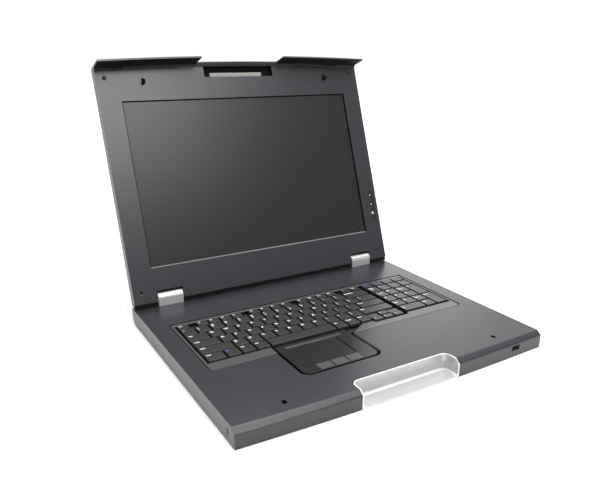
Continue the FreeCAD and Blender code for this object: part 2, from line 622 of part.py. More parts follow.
def key_cap(cell):
    """A tapered cap with a socket in its underside for the guide post."""
    _, left, right, front, rear = cell
    gap, side = value("key_gap"), value("key_side_slope")
    top, tall = value("key_top"), value("key_tall")
    x0, x1, y0, y1 = left + gap, right - gap, front + gap, rear - gap
    low = [(x0, y0), (x1, y0), (x1, y1), (x0, y1)]
    y2, y3 = y0 + value("key_front_slope"), y1 - value("key_back_slope")
    high = [(x0 + side, y2), (x1 - side, y2), (x1 - side, y3), (x0 + side, y3)]
    wires = [Part.makePolygon([FreeCAD.Vector(x, y, z) for x, y in ring + ring[:1]])
             for ring, z in ((low, top - tall), (high, top))]
    cap = Part.makeLoft(wires, True, True)
    play = value("key_socket_gap")
    a, b, c, d = key_post(cell)
    socket = Part.makeBox(b - a + 2 * play, d - c + 2 * play, tall - value("key_roof") + 1,
                          FreeCAD.Vector(a - play, c - play, top - tall - 1))
    return cap.cut(socket)


def key_groups():
    """One node for each row or single key; the caps stay separate solids."""
    cells = key_cells()
    for label in sorted({cell[0] for cell in cells}):
        feature = doc.addObject("Part::Feature", label + "_caps")
        feature.Shape = Part.makeCompound([key_cap(cell) for cell in cells if cell[0] == label])
        keep(label, feature)


def keyboard_plate():
    """Steel plate with a guide post under every key."""
    cells = key_cells()
    rest = value("key_top - key_roof - key_travel - key_socket_gap")
    low, sink = value("plate_top"), value("post_sink")
    posts = []
    for cell in cells:
        a, b, c, d = key_post(cell)
        posts.append(Part.makeBox(b - a, d - c, rest - low + sink, FreeCAD.Vector(a, c, low - sink)))
    x0, x1, y0, y1 = [value(text) for text in plate_sides()]
    plate = Part.makeBox(x1 - x0, y1 - y0, value("plate_sheet"),
                         FreeCAD.Vector(x0, y0, low - value("plate_sheet"))).cut(pad_room().Shape)
    feature = doc.addObject("Part::Feature", "plate_with_posts")
    feature.Shape = plate.fuse(posts).removeSplitter()
    keep("keyboard_plate", feature)


def plate_sides():
    """Left, right, front and back of the keyboard plate."""
    return ("-bay_half + frame_gap", "bay_half - frame_gap",
            back("key_row_front - arrow_drop - plate_front_reach"), back("bay_back - frame_gap"))


def pad_room():
    """What the keyboard's sheets leave free for the touch pad's housing."""
    room = block("pad_room", ("pad_place - pad_half - pad_room_gap",
                              "pad_place + pad_half + pad_room_gap"),
                 (back("bay_front"), back(WELL_FRONT) + " - pad_back_gap + pad_room_gap"),
                 ("0", "tray_height"))
    doc.recompute()
    return room


def keyboard_sheets():
    """The switch membrane below the plate, and the hat rails that carry both."""
    x0, x1, y0, y1 = plate_sides()
    film = block("film", (x0 + " + film_inset", x1 + " - film_inset"),
                 (y0 + " + film_inset", y1 + " - film_inset"),
                 (MEMBRANE_UNDER, "plate_top - plate_sheet"))
    keep("keyboard_membrane", cut("membrane", film, pad_room()))
    rails = []
    for number, place in enumerate(("-rail_side_place", "rail_middle_place", "rail_side_place")):
        low, high = "%s - rail_wide / 2" % place, "%s + rail_wide / 2" % place
        hat = block("rail_%d" % number, (low, high), (y0 + " + rail_inset", y1 + " - rail_inset"),
                    ("pan_sheet", MEMBRANE_UNDER))
        hollow = block("rail_hollow_%d" % number, (low + " + rail_sheet", high + " - rail_sheet"),
                       (y0 + " - 1", y1 + " + 1"), ("pan_sheet - 1", MEMBRANE_UNDER + " - rail_sheet"))
        rails.append(cut("rail_bent_%d" % number, hat, hollow))
    keep("keyboard_rails", group("keyboard_rails_group", *rails))


def keyboard_frame():
    """Grey rim round the keys, with a skirt down to the plate and a cut corner by the touch pad."""
    top = "tray_height - frame_drop"
    x0, x1 = "-bay_half + frame_gap", "bay_half - frame_gap"
    y0, y1 = back("bay_front + frame_gap"), back("bay_back - frame_gap")
    pad_side = "pad_place - pad_bay_half"
    corner = "pad_place + pad_bay_half + 1"
    well = back(WELL_FRONT)
    outer = padded("frame_outer", "XY_Plane", [
        (x0, y0, "bay_round - frame_gap"), (pad_side, y0), (pad_side, well),
        (corner + " + corner_cut_wide", well), (corner, y0), (x1, y0, "bay_round - frame_gap"),
        (x1, y1), (x0, y1)], "plate_top", top)
    under = padded("frame_under", "XY_Plane", [
        (x0 + " + frame_skirt", y0 + " + frame_skirt", "bay_round - frame_gap - frame_skirt"),
        (pad_side + " - frame_skirt", y0 + " + frame_skirt"),
        (pad_side + " - frame_skirt", well), (corner + " + corner_cut_wide + frame_skirt", well),
        (corner + " + 2 * frame_skirt", y0 + " + frame_skirt"),
        (x1 + " - frame_skirt", y0 + " + frame_skirt", "bay_round - frame_gap - frame_skirt"),
        (x1 + " - frame_skirt", y1 + " - frame_skirt"), (x0 + " + frame_skirt", y1 + " - frame_skirt")],
        "plate_top - 1", top + " - frame_top_wall")
    keys = block("frame_well", ("main_left - well_gap", PAD_RIGHT + " + well_gap + well_side_extra"),
                 (well, back(KEYS_BACK) + " + well_gap"), ("plate_top - 1", top + " + 1"))
    arrows = block("frame_arrow_well", (ARROWS_LEFT + " - well_gap", MAIN_RIGHT + " + block_gap - 1"),
                   (back("key_row_front - arrow_drop - well_gap"), well + " + 1"),
                   ("plate_top - 1", top + " + 1"))
    keep("keyboard_frame", cut("keyboard_frame_shape", outer, under, keys, arrows))


def arrow_fillers():
    """Two blank blocks beside the upward arrow key."""
    low = back("key_row_front - arrow_drop + arrow_deep + 2 * key_gap")
    high = back("key_row_front + key_pitch - 4 * key_gap")
    spans = ((ARROWS_LEFT + " + key_gap", ARROWS_LEFT + " + arrow_pitch - 2 * key_gap"),
             (ARROWS_LEFT + " + 2 * arrow_pitch + 2 * key_gap", MAIN_RIGHT + " - key_gap"))
    blanks = [block("filler_%d" % number, span, (low, high), ("plate_top", "key_top - filler_drop"))
              for number, span in enumerate(spans)]
    keep("arrow_key_fillers", group("arrow_fillers_group", *blanks))


# ---------------------------------------------------------------- touch pad


def touchpad():
    """Dished housing that stands on the tray's floor, its touch surface, board and three buttons."""
    rear = back(WELL_FRONT + " - pad_back_gap")
    outer = padded("housing_outer", "XY_Plane", [
        ("pad_place - pad_half", back("pad_front"), "pad_round"),
        ("pad_place + pad_half", back("pad_front"), "pad_round"),
        ("pad_place + pad_half", rear), ("pad_place - pad_half", rear)], "pan_sheet", PAD_TOP)
    inner = padded("housing_inner", "XY_Plane", [
        ("pad_place - pad_half + pad_wall", back("pad_front") + " + pad_wall", "pad_round - pad_wall"),
        ("pad_place + pad_half - pad_wall", back("pad_front") + " + pad_wall", "pad_round - pad_wall"),
        ("pad_place + pad_half - pad_wall", rear + " - pad_wall"),
        ("pad_place - pad_half + pad_wall", rear + " - pad_wall")],
        "pan_sheet - 1", PAD_TOP + " - pad_deck")
    dish = block("housing_dish", ("pad_place - dish_half", "pad_place + dish_half"),
                 (back("dish_front"), back("dish_back")), (DISH_FLOOR, PAD_TOP + " + 3"))
    ridge = padded("housing_ridge", "YZ_Plane", [
        (back("dish_back"), DISH_FLOOR), (back("dish_back + ridge_run"), PAD_TOP + " + ridge_proud"),
        (back("dish_back + ridge_run + ridge_top_run"), PAD_TOP + " + ridge_proud"),
        (back("dish_back + ridge_run + ridge_top_run"), DISH_FLOOR)],
        "pad_place - ridge_half", "pad_place + ridge_half")
    ramp = block("housing_ramp_clear", ("pad_place - ridge_half", "pad_place + ridge_half"),
                 (back("dish_back") + " - 0.5", back("dish_back + ridge_run")),
                 (DISH_FLOOR, PAD_TOP + " + 3"))
    openings = []
    for number in range(3):
        left, right, front, rear_side = button_sides(number)
        openings.append(block("button_hole_%d" % number, (left + " - button_gap", right + " + button_gap"),
                              (front + " - button_gap", rear_side + " + button_gap"),
                              (PAD_TOP + " - pad_deck - 1", PAD_TOP + " + 1")))
    bared = cut("housing_bared", outer, inner, dish, ramp, *openings)
    keep("touchpad_housing", joined("touchpad_housing_shape", bared, ridge))
    keep("touch_surface", block("touch_sheet", ("pad_place - dish_half + surface_gap",
                                                "pad_place + dish_half - surface_gap"),
                                (back("dish_front + surface_gap"), back("dish_back - 1 - surface_gap")),
                                (DISH_FLOOR, DISH_FLOOR + " + surface_sheet")))
    under = PAD_TOP + " - pad_deck"
    keep("touchpad_board", block("pad_board", ("pad_place - pad_half + pad_board_inset",
                                               "pad_place + pad_half - pad_board_inset"),
                                 (back("pad_front + pad_board_front"), rear + " - pad_board_rear"),
                                 (under + " - board_sheet", under)))
    for number, name in enumerate(("left", "middle", "right")):
        left, right, front, rear_side = button_sides(number)
        high = PAD_TOP + " + button_proud"
        keep("pad_button_" + name, block("pad_button_block_%d" % number, (left, right),
                                         (front, rear_side), (high + " - button_tall", high)))


def button_sides(number):
    """Left, right, front and back of one touch pad button."""
    middle = "pad_place + (%d) * button_pitch" % (number - 1)
    return (middle + " - button_wide / 2", middle + " + button_wide / 2", back("button_front"),
            back("button_front + button_deep"))


# ---------------------------------------------------------------- sockets and boards in the tray


def front_port():
    """Data port behind its hole in the front face: a thin shell with a tongue inside."""
    x0, x1 = "port_place - port_wide / 2", "port_place + port_wide / 2"
    z0, z1 = "port_height - port_tall / 2", "port_height + port_tall / 2"
    front = back("port_setback")
    outer = block("port_outer", (x0, x1), (front, front + " + port_deep"), (z0, z1))
    inner = block("port_inner", (x0 + " + port_sheet", x1 + " - port_sheet"),
                  (front + " - 1", front + " + port_deep - 2 * port_sheet"),
                  (z0 + " + port_sheet", z1 + " - port_sheet"))
    tongue_top = z1 + " - port_sheet - tongue_gap"
    tongue = block("port_tongue_block", (x0 + " + tongue_side_gap", x1 + " - tongue_side_gap"),
                   (front + " + 2 * tongue_gap", front + " + port_deep - port_sheet"),
                   (tongue_top + " - port_tongue", tongue_top))
    stand = block("port_stand", ("port_place - port_stand_half", "port_place + port_stand_half"),
                  (front + " + port_deep / 3", front + " + port_deep - 4 * port_sheet"),
                  ("pan_sheet", z0 + " + port_sheet / 2"))
    keep("front_data_port", joined("front_port_shape", cut("port_shell", outer, inner), tongue, stand))


def rear_sockets():
    """Video socket, data socket and power inlet, standing on the rear boards."""
    face, low = back("tray_depth"), "socket_lift + pan_sheet"
    bodies = {}
    for name in ("video", "upload", "inlet"):
        half = "%s_wide / 2" % name
        bodies[name] = block(name + "_body", ("%s_place - %s" % (name, half), "%s_place + %s" % (name, half)),
                             ("%s - %s_deep" % (face, name), face + " + socket_proud"),
                             (low, "%s + %s_tall" % (low, name)))
    throat = padded("video_throat", "XZ_Plane", throat_plan(low, "0"), face + " - 1",
                    face + " + video_proud")
    hollow = padded("video_hollow", "XZ_Plane", throat_plan(low, "throat_wall"), face + " - 0.5",
                    face + " + video_proud + 1")
    keep("video_socket", cut("video_socket_shape", joined("video_whole", bodies["video"], throat), hollow))
    mouth = block("upload_mouth", ("upload_place - upload_wide / 2 + upload_wall",
                                   "upload_place + upload_wide / 2 - upload_wall"),
                  (face + " - mouth_deep", face + " + 1"),
                  (low + " + upload_wall", low + " + upload_tall - upload_wall"))
    tongue = block("upload_tongue", ("upload_place - upload_tongue_half",
                                     "upload_place + upload_tongue_half"),
                   (face + " - mouth_deep - 0.5", face + " - 1"),
                   (low + " + upload_tongue_inset", low + " + upload_tall - upload_tongue_inset"))
    keep("data_socket", joined("data_socket_shape", cut("upload_open", bodies["upload"], mouth), tongue))
    centre = low + " + inlet_tall / 2"
    bore = rod("inlet_hole", ("inlet_place", face + " - bore_deep", centre), "inlet_bore",
               "bore_deep + 1", "y")
    pin = rod("inlet_pin_rod", ("inlet_place", face + " - bore_deep - 0.5", centre), "inlet_pin",
              "bore_deep + 0.5 - pin_setback", "y")
    keep("power_inlet", joined("power_inlet_shape", cut("inlet_open", bodies["inlet"], bore), pin))


def throat_plan(low, inset):
    """The video socket's throat from behind, wider at the top, drawn in by the inset."""
    narrow = "throat_half - (%s)" % inset
    bottom = "%s + throat_low + (%s)" % (low, inset)
    top = "%s + video_tall - throat_below_top - (%s)" % (low, inset)
    turn = "throat_round - (%s) / 2" % inset
    return [("video_place - (%s)" % narrow, bottom, turn), ("video_place + " + narrow, bottom, turn),
            ("video_place + throat_spread + " + narrow, top, turn),
            ("video_place - throat_spread - (%s)" % narrow, top, turn)]


# Blocks on each board: left, right, front, back from its middle and front edge, then height.
BOARD_PARTS = {
    "main": ((-50, -22, 26, 54, 3.2), (6, 26, 30, 50, 2.4), (36, 50, 20, 44, 4.0), (-14, -2, 14, 22, 1.6)),
    "power": ((-46, -14, 12, 40, 11.0), (-6, 8, 14, 30, 12.0), (18, 34, 22, 34, 10.0), (38, 50, 8, 46, 8.0)),
}
BOARD_SINK = 0.1


def tray_boards():
    """Main board and power board on stand-offs behind the keyboard, with their blocks."""
    level = "pan_sheet + stand_off - board_sheet"
    top = level + " + board_sheet"
    front, rear = back("board_front"), back("tray_depth - pan_sheet - board_rear_gap")
    for side in ("main", "power"):
        x0, x1 = side + "_board_left", side + "_board_right"
        board = block(side + "_sheet", (x0, x1), (front, rear), (level, top))
        feet = [rod("%s_foot_%s%s" % (side, a, b), (x, y, "pan_sheet"), "foot_radius",
                    "stand_off - board_sheet")
                for a, x in (("l", x0 + " + foot_inset"), ("r", x1 + " - foot_inset"))
                for b, y in (("f", front + " + foot_inset"), ("b", rear + " - foot_rear_inset"))]
        middle = "(%s + %s) / 2" % (x0, x1)
        blocks = [block("%s_part_%d" % (side, number), (middle + " + (%d)" % a, middle + " + (%d)" % b),
                        (front + " + %d" % c, front + " + %d" % d),
                        ("%s - %s" % (top, BOARD_SINK), "%s + %s" % (top, tall)))
                  for number, (a, b, c, d, tall) in enumerate(BOARD_PARTS[side])]
        keep(side + "_board", joined(side + "_board_shape", board, *feet, *blocks))
    keyboard_lead(top)


def keyboard_lead(board_top):
    """Flat lead from under the membrane back and down to the main board."""
    left = "main_board_left + keyboard_lead_place"
    start = back("board_front - keyboard_lead_reach")
    drop = back("board_front + lead_bend")
    lead = padded("keyboard_lead_bent", "YZ_Plane", [
        (start, MEMBRANE_UNDER + " - lead_thick"), (drop, MEMBRANE_UNDER + " - lead_thick"),
        (drop, board_top), (drop + " + lead_thick", board_top), (drop + " + lead_thick", MEMBRANE_UNDER),
        (start, MEMBRANE_UNDER)], left, left + " + lead_wide")
    keep("keyboard_lead", lead)


# ---------------------------------------------------------------- hinges


def hinges():
    """On each side: a silver hood, a bracket with its barrel, a pin, and the leaf in the lid."""
    axis_y = back("hinge_back")
    radius = "hood_deep / 2"
    x0, x1 = "hood_place - hood_half", "hood_place + hood_half"
    centre = back("hood_front + hood_deep / 2")
    solid = joined("hood_solid",
                   block("hood_block", (x0, x1), (back("hood_front"), back("hood_front + hood_deep")),
                         ("tray_height", "hood_centre")),
                   rod("hood_round", (x0, centre, "hood_centre"), radius, "2 * hood_half", "x"))
    inside = joined("hood_inside",
                    block("hood_inside_block", (x0 + " + hood_wall", x1 + " - hood_wall"),
                          (back("hood_front + hood_wall"), back("hood_front + hood_deep - hood_wall")),
                          ("tray_height - 1", "hood_centre")),
                    rod("hood_inside_round", (x0 + " + hood_wall", centre, "hood_centre"),
                        radius + " - hood_wall", "2 * hood_half - 2 * hood_wall", "x"))
    bore = rod("hood_bore", (x1 + " - 2 * hood_wall", axis_y, "hinge_height"), "pin_radius + leaf_clear",
               "4 * hood_wall", "x")
    hood = cut("hood", solid, inside, bore)
    start = "hood_place - bracket_wide / 2"
    web = (axis_y + " - bracket_sheet / 2", axis_y + " + bracket_sheet / 2")
    barrel = rod("bracket_barrel", (start, axis_y, "hinge_height"), "barrel_radius", "bracket_wide", "x")
    plate = block("bracket_web", (start, start + " + bracket_wide"), web, ("pan_sheet", "hinge_height"))
    foot = block("bracket_foot_plate", (start, start + " + bracket_wide"),
                 (web[1] + " - bracket_foot", web[1]), ("pan_sheet", "pan_sheet + bracket_sheet"))
    hole = rod("bracket_bore", (start + " - 1", axis_y, "hinge_height"), "pin_radius",
               "bracket_wide + 2", "x")
    bracket = cut("bracket", joined("bracket_solid", barrel, plate, foot), hole)
    pin = rod("pin", (start, axis_y, "hinge_height"), "pin_radius",
              "leaf_side + leaf_wide - hood_place + bracket_wide / 2 + bar_play", "x")
    for label, piece in (("hinge_hood", hood), ("hinge_bracket", bracket), ("hinge_pin", pin)):
        keep(label + "_left", mirrored(label + "_twin", piece))
        keep(label + "_right", piece)
    leaf = hinge_leaf()
    keep("hinge_leaf_left", mirrored("hinge_leaf_twin", leaf), lid=True)
    keep("hinge_leaf_right", leaf, lid=True)


def hinge_leaf():
    """Knuckle on the pin, a plate up into the lid, and a narrow arm beside the panel."""
    x0, x1 = "leaf_side", "leaf_side + leaf_wide"
    knuckle = rod("leaf_knuckle", (x0, "0", "0"), "leaf_radius", "leaf_wide", "x")
    sheet_out = ("-leaf_radius", "leaf_sheet - leaf_radius")
    plate = block("leaf_plate", (x0, x1), ("0", up("leaf_low")), sheet_out)
    arm = block("leaf_arm", ("panel_half + rail_thick + bar_play", x1), (up("leaf_low - 1"), up("leaf_high")),
                sheet_out)
    hole = rod("leaf_bore", (x0 + " - 1", "0", "0"), "pin_radius + pin_fit", "leaf_wide + 2", "x")
    return cut("leaf", joined("leaf_solid", knuckle, plate, arm), hole)


# ---------------------------------------------------------------- lid


def lid_centre():
    """Centre of the bow in the lid's own frame; it bulges towards the free edge."""
    return "lid_height - hinge_inset + front_bow - %s" % BOW_RADIUS


def lid_shell():
    """Painted back shell: back plate, side walls, foot wall and the bowed outer flange."""
    tip = "lid_height - hinge_inset + front_bow"
    inner = tip + " - shell_wall"
    floor = SHELL_BACK
    face = out("-bezel_wall")
    skin = bowed("shell_skin", [
        ("-60", floor), (tip, floor, "lid_back_round"), (tip, out("flange_reach")),
        (inner, out("flange_reach")), (inner, floor + " + shell_wall", "lid_back_round - shell_wall"),
        ("-60", floor + " + shell_wall")], lid_centre())
    limits = block("shell_limits", ("-(lid_width / 2)", "lid_width / 2"), (LID_FOOT, tip + " + 1"),
                   (floor + " - 1", out("flange_reach + 1")))
    plate = common("shell_plate", skin, limits)
    walls = bowed("shell_side_profile", [
        ("-60", floor), (tip, floor, "lid_back_round"), (tip, face), ("-60", face)], lid_centre())
    sides = [block("shell_side_" + name, span, (LID_FOOT, tip + " + 1"), (floor, face))
             for name, span in (("left", ("-(lid_width / 2)", "-(lid_width / 2) + shell_wall")),
                                ("right", ("lid_width / 2 - shell_wall", "lid_width / 2")))]
    side_walls = common("shell_sides", walls, joined("shell_side_pair", *sides))
    foot = block("shell_foot", ("-(lid_width / 2)", "lid_width / 2"), (LID_FOOT, LID_FOOT + " + shell_wall"),
                 (floor, face))
    bosses, holes = plug_bosses()
    near, far = "leaf_side + shell_wall", "leaf_side + leaf_wide - shell_wall"
    pads = [block("shell_pad_" + name, across, (up("leaf_pad_low"), up("leaf_pad_high")),
                  (floor, "-leaf_radius"))
            for name, across in (("right", (near, far)), ("left", ("-(%s)" % far, "-(%s)" % near)))]
    ribs = shell_ribs()
    whole = joined("shell_whole", plate, side_walls, foot, *bosses, *pads, *ribs)
    keep("lid_shell", cut("lid_shell_shape", whole, notch_block("shell_notch"), *holes,
                          *knuckle_clearance("shell"),
                          *hood_notches("shell", "hood_notch_back", SHELL_BACK + " - 1")), lid=True)


def shell_ribs():
    """Raised pads in the back shell that carry the lid's boards and the latch bar."""
    board_span = (up("lid_board_low + rib_inset"), up("lid_board_low + lid_board_tall - rib_inset"))
    bar_span = (up("bar_low + 1"), up("bar_high - 1"))
    bar_level = out("-bar_drop - bar_sheet - bar_play")
    places = (
        ("control", ("control_side - rib_wide + 0.5", "control_side + rib_wide - 0.5"),
         (up("control_low - rib_inset - 1"), up("control_low + rib_inset + 1")), control_board_under()),
        ("board_left", ("-lid_board_half + rib_inset", "-lid_board_half + rib_inset + rib_wide"),
         board_span, lid_board_under()),
        ("board_right", ("lid_board_half - rib_inset - rib_wide", "lid_board_half - rib_inset"),
         board_span, lid_board_under()),
        ("inverter", ("lid_board_half + inverter_gap + rib_wide",
                      "lid_board_half + inverter_gap + inverter_long - rib_wide"),
         (up("lid_board_low + 2 * rib_inset"), up("lid_board_low + 3 * rib_inset")), lid_board_under()),
        ("bar_left", ("-bar_rib_place - bar_rib_half", "-bar_rib_place + bar_rib_half"), bar_span, bar_level),
        ("bar_right", ("bar_rib_place - bar_rib_half", "bar_rib_place + bar_rib_half"), bar_span, bar_level),
    )
    return [block("rib_" + name, across, along, (SHELL_BACK, level)) for name, across, along, level in places]


def lid_board_under():
    """Level of the underside of the boards at the lid's foot."""
    return "(%s + shell_wall + lid_board_lift)" % SHELL_BACK


def control_board_under():
    """Level of the underside of the small board behind the control buttons."""
    collar = "control_gap + control_collar_thick + control_travel + bar_play"
    return "(hinge_drop - bezel_wall - (%s) - board_sheet)" % collar


def plug_bosses():
    """Screw bosses behind the four plugs, with their screw holes."""
    bosses, holes = [], []
    for number, (sign, along) in enumerate(plug_places()):
        centre = ("%splug_side" % sign, up(along))
        height = "lid_thick - bezel_wall - 0.5"
        bosses.append(rod("boss_%d" % number, centre + (SHELL_BACK,), "boss_radius", height))
        holes.append(rod("boss_hole_%d" % number, centre + (SHELL_BACK + " + 2 * shell_wall",),
                         "screw_radius", "lid_thick"))
    return bosses, holes


def plug_places():
    """Sides and heights of the four screw plugs."""
    return [(sign, along) for sign in ("-", "") for along in ("plug_low", "plug_high")]


def knuckle_clearance(name):
    """Room round the hinge axis for the pins and the knuckles of the leaves."""
    start = "hood_place + hood_half"
    return [rod("%s_knuckle_%s" % (name, side), (place, "0", "0"), "leaf_radius + leaf_clear",
                "leaf_side + leaf_wide + 0.5 - hood_place - hood_half", "x")
            for side, place in (("left", "-(leaf_side + leaf_wide + 0.5)"), ("right", start))]


def hood_notches(name, tall, low):
    """Clearance in the lid's foot for the two hinge hoods."""
    return [block("%s_hood_notch_%s" % (name, side),
                  ("%s(hood_place) - hood_half - hood_side_gap" % sign,
                   "%s(hood_place) + hood_half + hood_side_gap" % sign),
                  (LID_FOOT + " - 1", up(tall)), (low, out("1")))
            for side, sign in (("left", "-"), ("right", ""))]


def notch_block(name):
    """What is cut from the middle of the flange."""
    return block(name, ("-notch_half", "notch_half"), (up("pocket_high + 1"), "lid_height + 20"),
                 (out("notch_lip"), out("flange_reach + 1")))


def lid_bezel():
    """Charcoal bezel with a sloped window frame and the lining of the bowed flange."""
    tip = "lid_height - hinge_inset + front_bow - shell_wall"
    inner = tip + " - lining_wall"
    face, under = out("0"), out("-bezel_wall")
    skin = bowed("bezel_skin", [
        ("-60", under), (tip, under), (tip, out("flange_reach")), (inner, out("flange_reach")),
        (inner, face, "cove_round"), ("-60", face)], lid_centre())
    limits = block("bezel_limits", ("-(lid_width / 2)", "lid_width / 2"), (LID_FOOT, tip + " + 1"),
                   (under + " - 1", out("flange_reach + 1")))
    rim = block("bezel_window_rim", ("-window_half - window_rim", "window_half + window_rim"),
                (up("window_low - window_rim"), up("window_low + window_tall + window_rim")),
                (out("-window_deep + 0.05"), out("-0.5")))
    window = window_cutter()
    low, high = up("lamp_along - recess_below"), up("control_low + 2 * control_pitch + recess_above")
    turn = "recess_half - 0.1"
    recess = padded("bezel_control_recess", "XY_Plane", [
        ("control_side - recess_half", low, turn), ("control_side + recess_half", low, turn),
        ("control_side + recess_half", high, turn), ("control_side - recess_half", high, turn)],
        out("-recess_deep"), out("1"))
    drilled = [rod("bezel_control_hole_%d" % number, ("control_side", place, under + " - 1"),
                   "control_radius + control_gap", "bezel_wall + 2")
               for number, place in enumerate(control_places())]
    drilled.append(rod("bezel_lamp_hole", ("control_side", up("lamp_along"), under + " - 1"),
                       "lamp_radius + screw_play", "bezel_wall + 2"))
    for number, (sign, along) in enumerate(plug_places()):
        centre = ("%splug_side" % sign, up(along))
        drilled.append(rod("bezel_plug_hole_%d" % number, centre + (out("-plug_deep"),),
                           "plug_radius + 0.1", "plug_deep + 1"))
        drilled.append(rod("bezel_screw_hole_%d" % number, centre + (under + " - 1",),
                           "screw_radius + 0.1", "bezel_wall"))
    for side, sign in (("left", "-"), ("right", "")):
        middle = "%shook_place" % sign
        low = "hook_along - hook_shank / 2 - hook_gap"
        high = "hook_along + hook_shank / 2 + hook_toe + latch_travel + hook_gap"
        drilled.append(block("bezel_hook_slot_" + side, ("%s - hook_wide / 2 - hook_gap" % middle,
                                                         "%s + hook_wide / 2 + hook_gap" % middle),
                             (up(low), up(high)), (under + " - 1", out("1"))))
    pocket = block("bezel_pocket_hole", ("-pocket_half", "pocket_half"),
                   (up("pocket_low"), up("pocket_high")), (under + " - 1", out("1")))
    whole = joined("bezel_whole", common("bezel_trimmed", skin, limits), rim, *foot_fairing())
    keep("lid_bezel", cut("lid_bezel_shape", whole, window, recess, pocket, notch_block("bezel_notch"),
                          *drilled, *knuckle_clearance("bezel"),
                          *hood_notches("bezel", "hood_notch_tall", under + " - 1")), lid=True)


def foot_fairing():
    """Rounded strips under the bezel's foot that close the gap to the cover on both sides of the hoods."""
    inner = "hood_place - hood_half - hood_side_gap"
    outer = "hood_place + hood_half + hood_side_gap"
    spans = (("middle", "-(%s)" % inner, inner), ("right", outer, "lid_width / 2 - shell_wall"),
             ("left", "-(lid_width / 2 - shell_wall)", "-(%s)" % outer))
    strips = []
    for name, left, right in spans:
        strip = block("fairing_strip_" + name, (left, right), ("-hinge_height", LID_FOOT),
                      ("-fairing_deep", out("-bezel_wall / 2")))
        around = rod("fairing_round_" + name, (left, "0", "0"), "hinge_height - tray_height - fairing_gap",
                     "(%s) - (%s)" % (right, left), "x")
        strips.append(common("fairing_" + name, strip, around))
    return strips


def window_cutter():
    """The window's opening, wider at the face than at the glass."""
    feature = doc.addObject("PartDesign::Body", "window_cutter")
    wires = []
    for name, level, grow in (("deep", out("-window_deep"), "-window_slope"),
                              ("face", out("0.01"), "0")):
        x = "window_half + (%s)" % grow
        low = up("window_low") + " - (%s)" % grow
        high = up("window_low + window_tall") + " + (%s)" % grow
        wires.append(outline(feature, "XY_Plane", "window_" + name, [
            ("-(%s)" % x, low), (x, low), (x, high), ("-(%s)" % x, high)], level))
    loft = feature.newObject("PartDesign::AdditiveLoft", "window_loft")
    loft.Profile = wires[0]
    loft.Sections = [wires[1]]
    return feature


def control_places():
    """Heights of the three control buttons, the lowest first."""
    return [up("control_low + %d * control_pitch" % number) for number in range(3)]


def screen():
    """Glass behind the window, the panel behind the glass, and the rails that hold it."""
    glass_out = out("-window_deep")
    panel_front = "window_deep + glass_sheet"
    sides = ("-panel_half", "panel_half")
    span = (up("panel_low"), up("panel_low + panel_tall"))
    keep("screen_glass", block("glass", ("-panel_half + 1", "panel_half - 1"),
                               (up("panel_low + 1"), up("panel_low + panel_tall - 1")),
                               (glass_out + " - glass_sheet", glass_out)), lid=True)
    keep("screen_panel", block("panel", sides, span, (out("-(%s + panel_thick)" % panel_front),
                                                      out("-(%s)" % panel_front))), lid=True)
    rail_low, rail_high = SHELL_BACK + " + shell_wall", out("-(%s)" % panel_front)
    along = (up("panel_low + rail_end_gap"), up("panel_low + panel_tall - rail_end_gap"))
    rail = joined("panel_rail",
                  block("panel_rail_side", ("panel_half + panel_gap", "panel_half + rail_thick"), along,
                        (rail_low, rail_high)),
                  block("panel_rail_lip", ("panel_half - rail_lip", "panel_half + rail_thick"), along,
                        (rail_low, out("-(%s + panel_thick)" % panel_front))))
    keep("panel_rail_left", mirrored("panel_rail_twin", rail), lid=True)
    keep("panel_rail_right", rail, lid=True)


def lid_electronics():
    """Screen driver board, backlight inverter, control board, lamp and the lid's flat lead."""
    under = lid_board_under()
    top = under + " + board_sheet"
    board = block("driver_sheet", ("-lid_board_half", "lid_board_half"),
                  (up("lid_board_low"), up("lid_board_low + lid_board_tall")), (under, top))
    chips = [block("driver_chip_%d" % number, (a, b), (up("lid_board_low + 6"), up("lid_board_low + " + c)),
                   (top + " - 0.1", top + " + " + tall))
             for number, (a, b, c, tall) in enumerate((("-40", "-22", "22", "2"), ("2", "14", "16", "1.6"),
                                                       ("34", "52", "14", "chip_high")))]
    keep("screen_driver_board", joined("driver_board_shape", board, *chips), lid=True)
    x0 = "lid_board_half + inverter_gap"
    inverter = block("inverter_sheet", (x0, x0 + " + inverter_long"),
                     (up("lid_board_low"), up("lid_board_low + inverter_tall")), (under, top))
    coil = block("inverter_coil", (x0 + " + 18", x0 + " + 36"),
                 (up("lid_board_low + 3"), up("lid_board_low + inverter_tall - 3")),
                 (top + " - 0.1", top + " + chip_high + 1"))
    keep("backlight_inverter", joined("inverter_shape", inverter, coil), lid=True)
    board_low = control_board_under()
    keep("control_board", block("control_sheet", ("control_side - control_board_half",
                                                "control_side + control_board_half"),
                                (up("lamp_along - control_board_margin"),
                                 up("control_low + 2 * control_pitch + control_board_margin")),
                                (board_low, board_low + " + board_sheet")), lid=True)
    keep("power_lamp", rod("lamp", ("control_side", up("lamp_along"), board_low + " + board_sheet"),
                           "lamp_radius", "%s - %s - board_sheet" % (out("-recess_deep + 0.1"), board_low)),
         lid=True)
    keep("screen_lead", block("lid_lead", ("-lid_board_half - lead_long", "-lid_board_half - lead_thick"),
                              (up("lid_board_low + 8"), up("lid_board_low + 8 + lead_wide")),
                              (SHELL_BACK + " + shell_wall", SHELL_BACK + " + shell_wall + lead_thick")),
         lid=True)


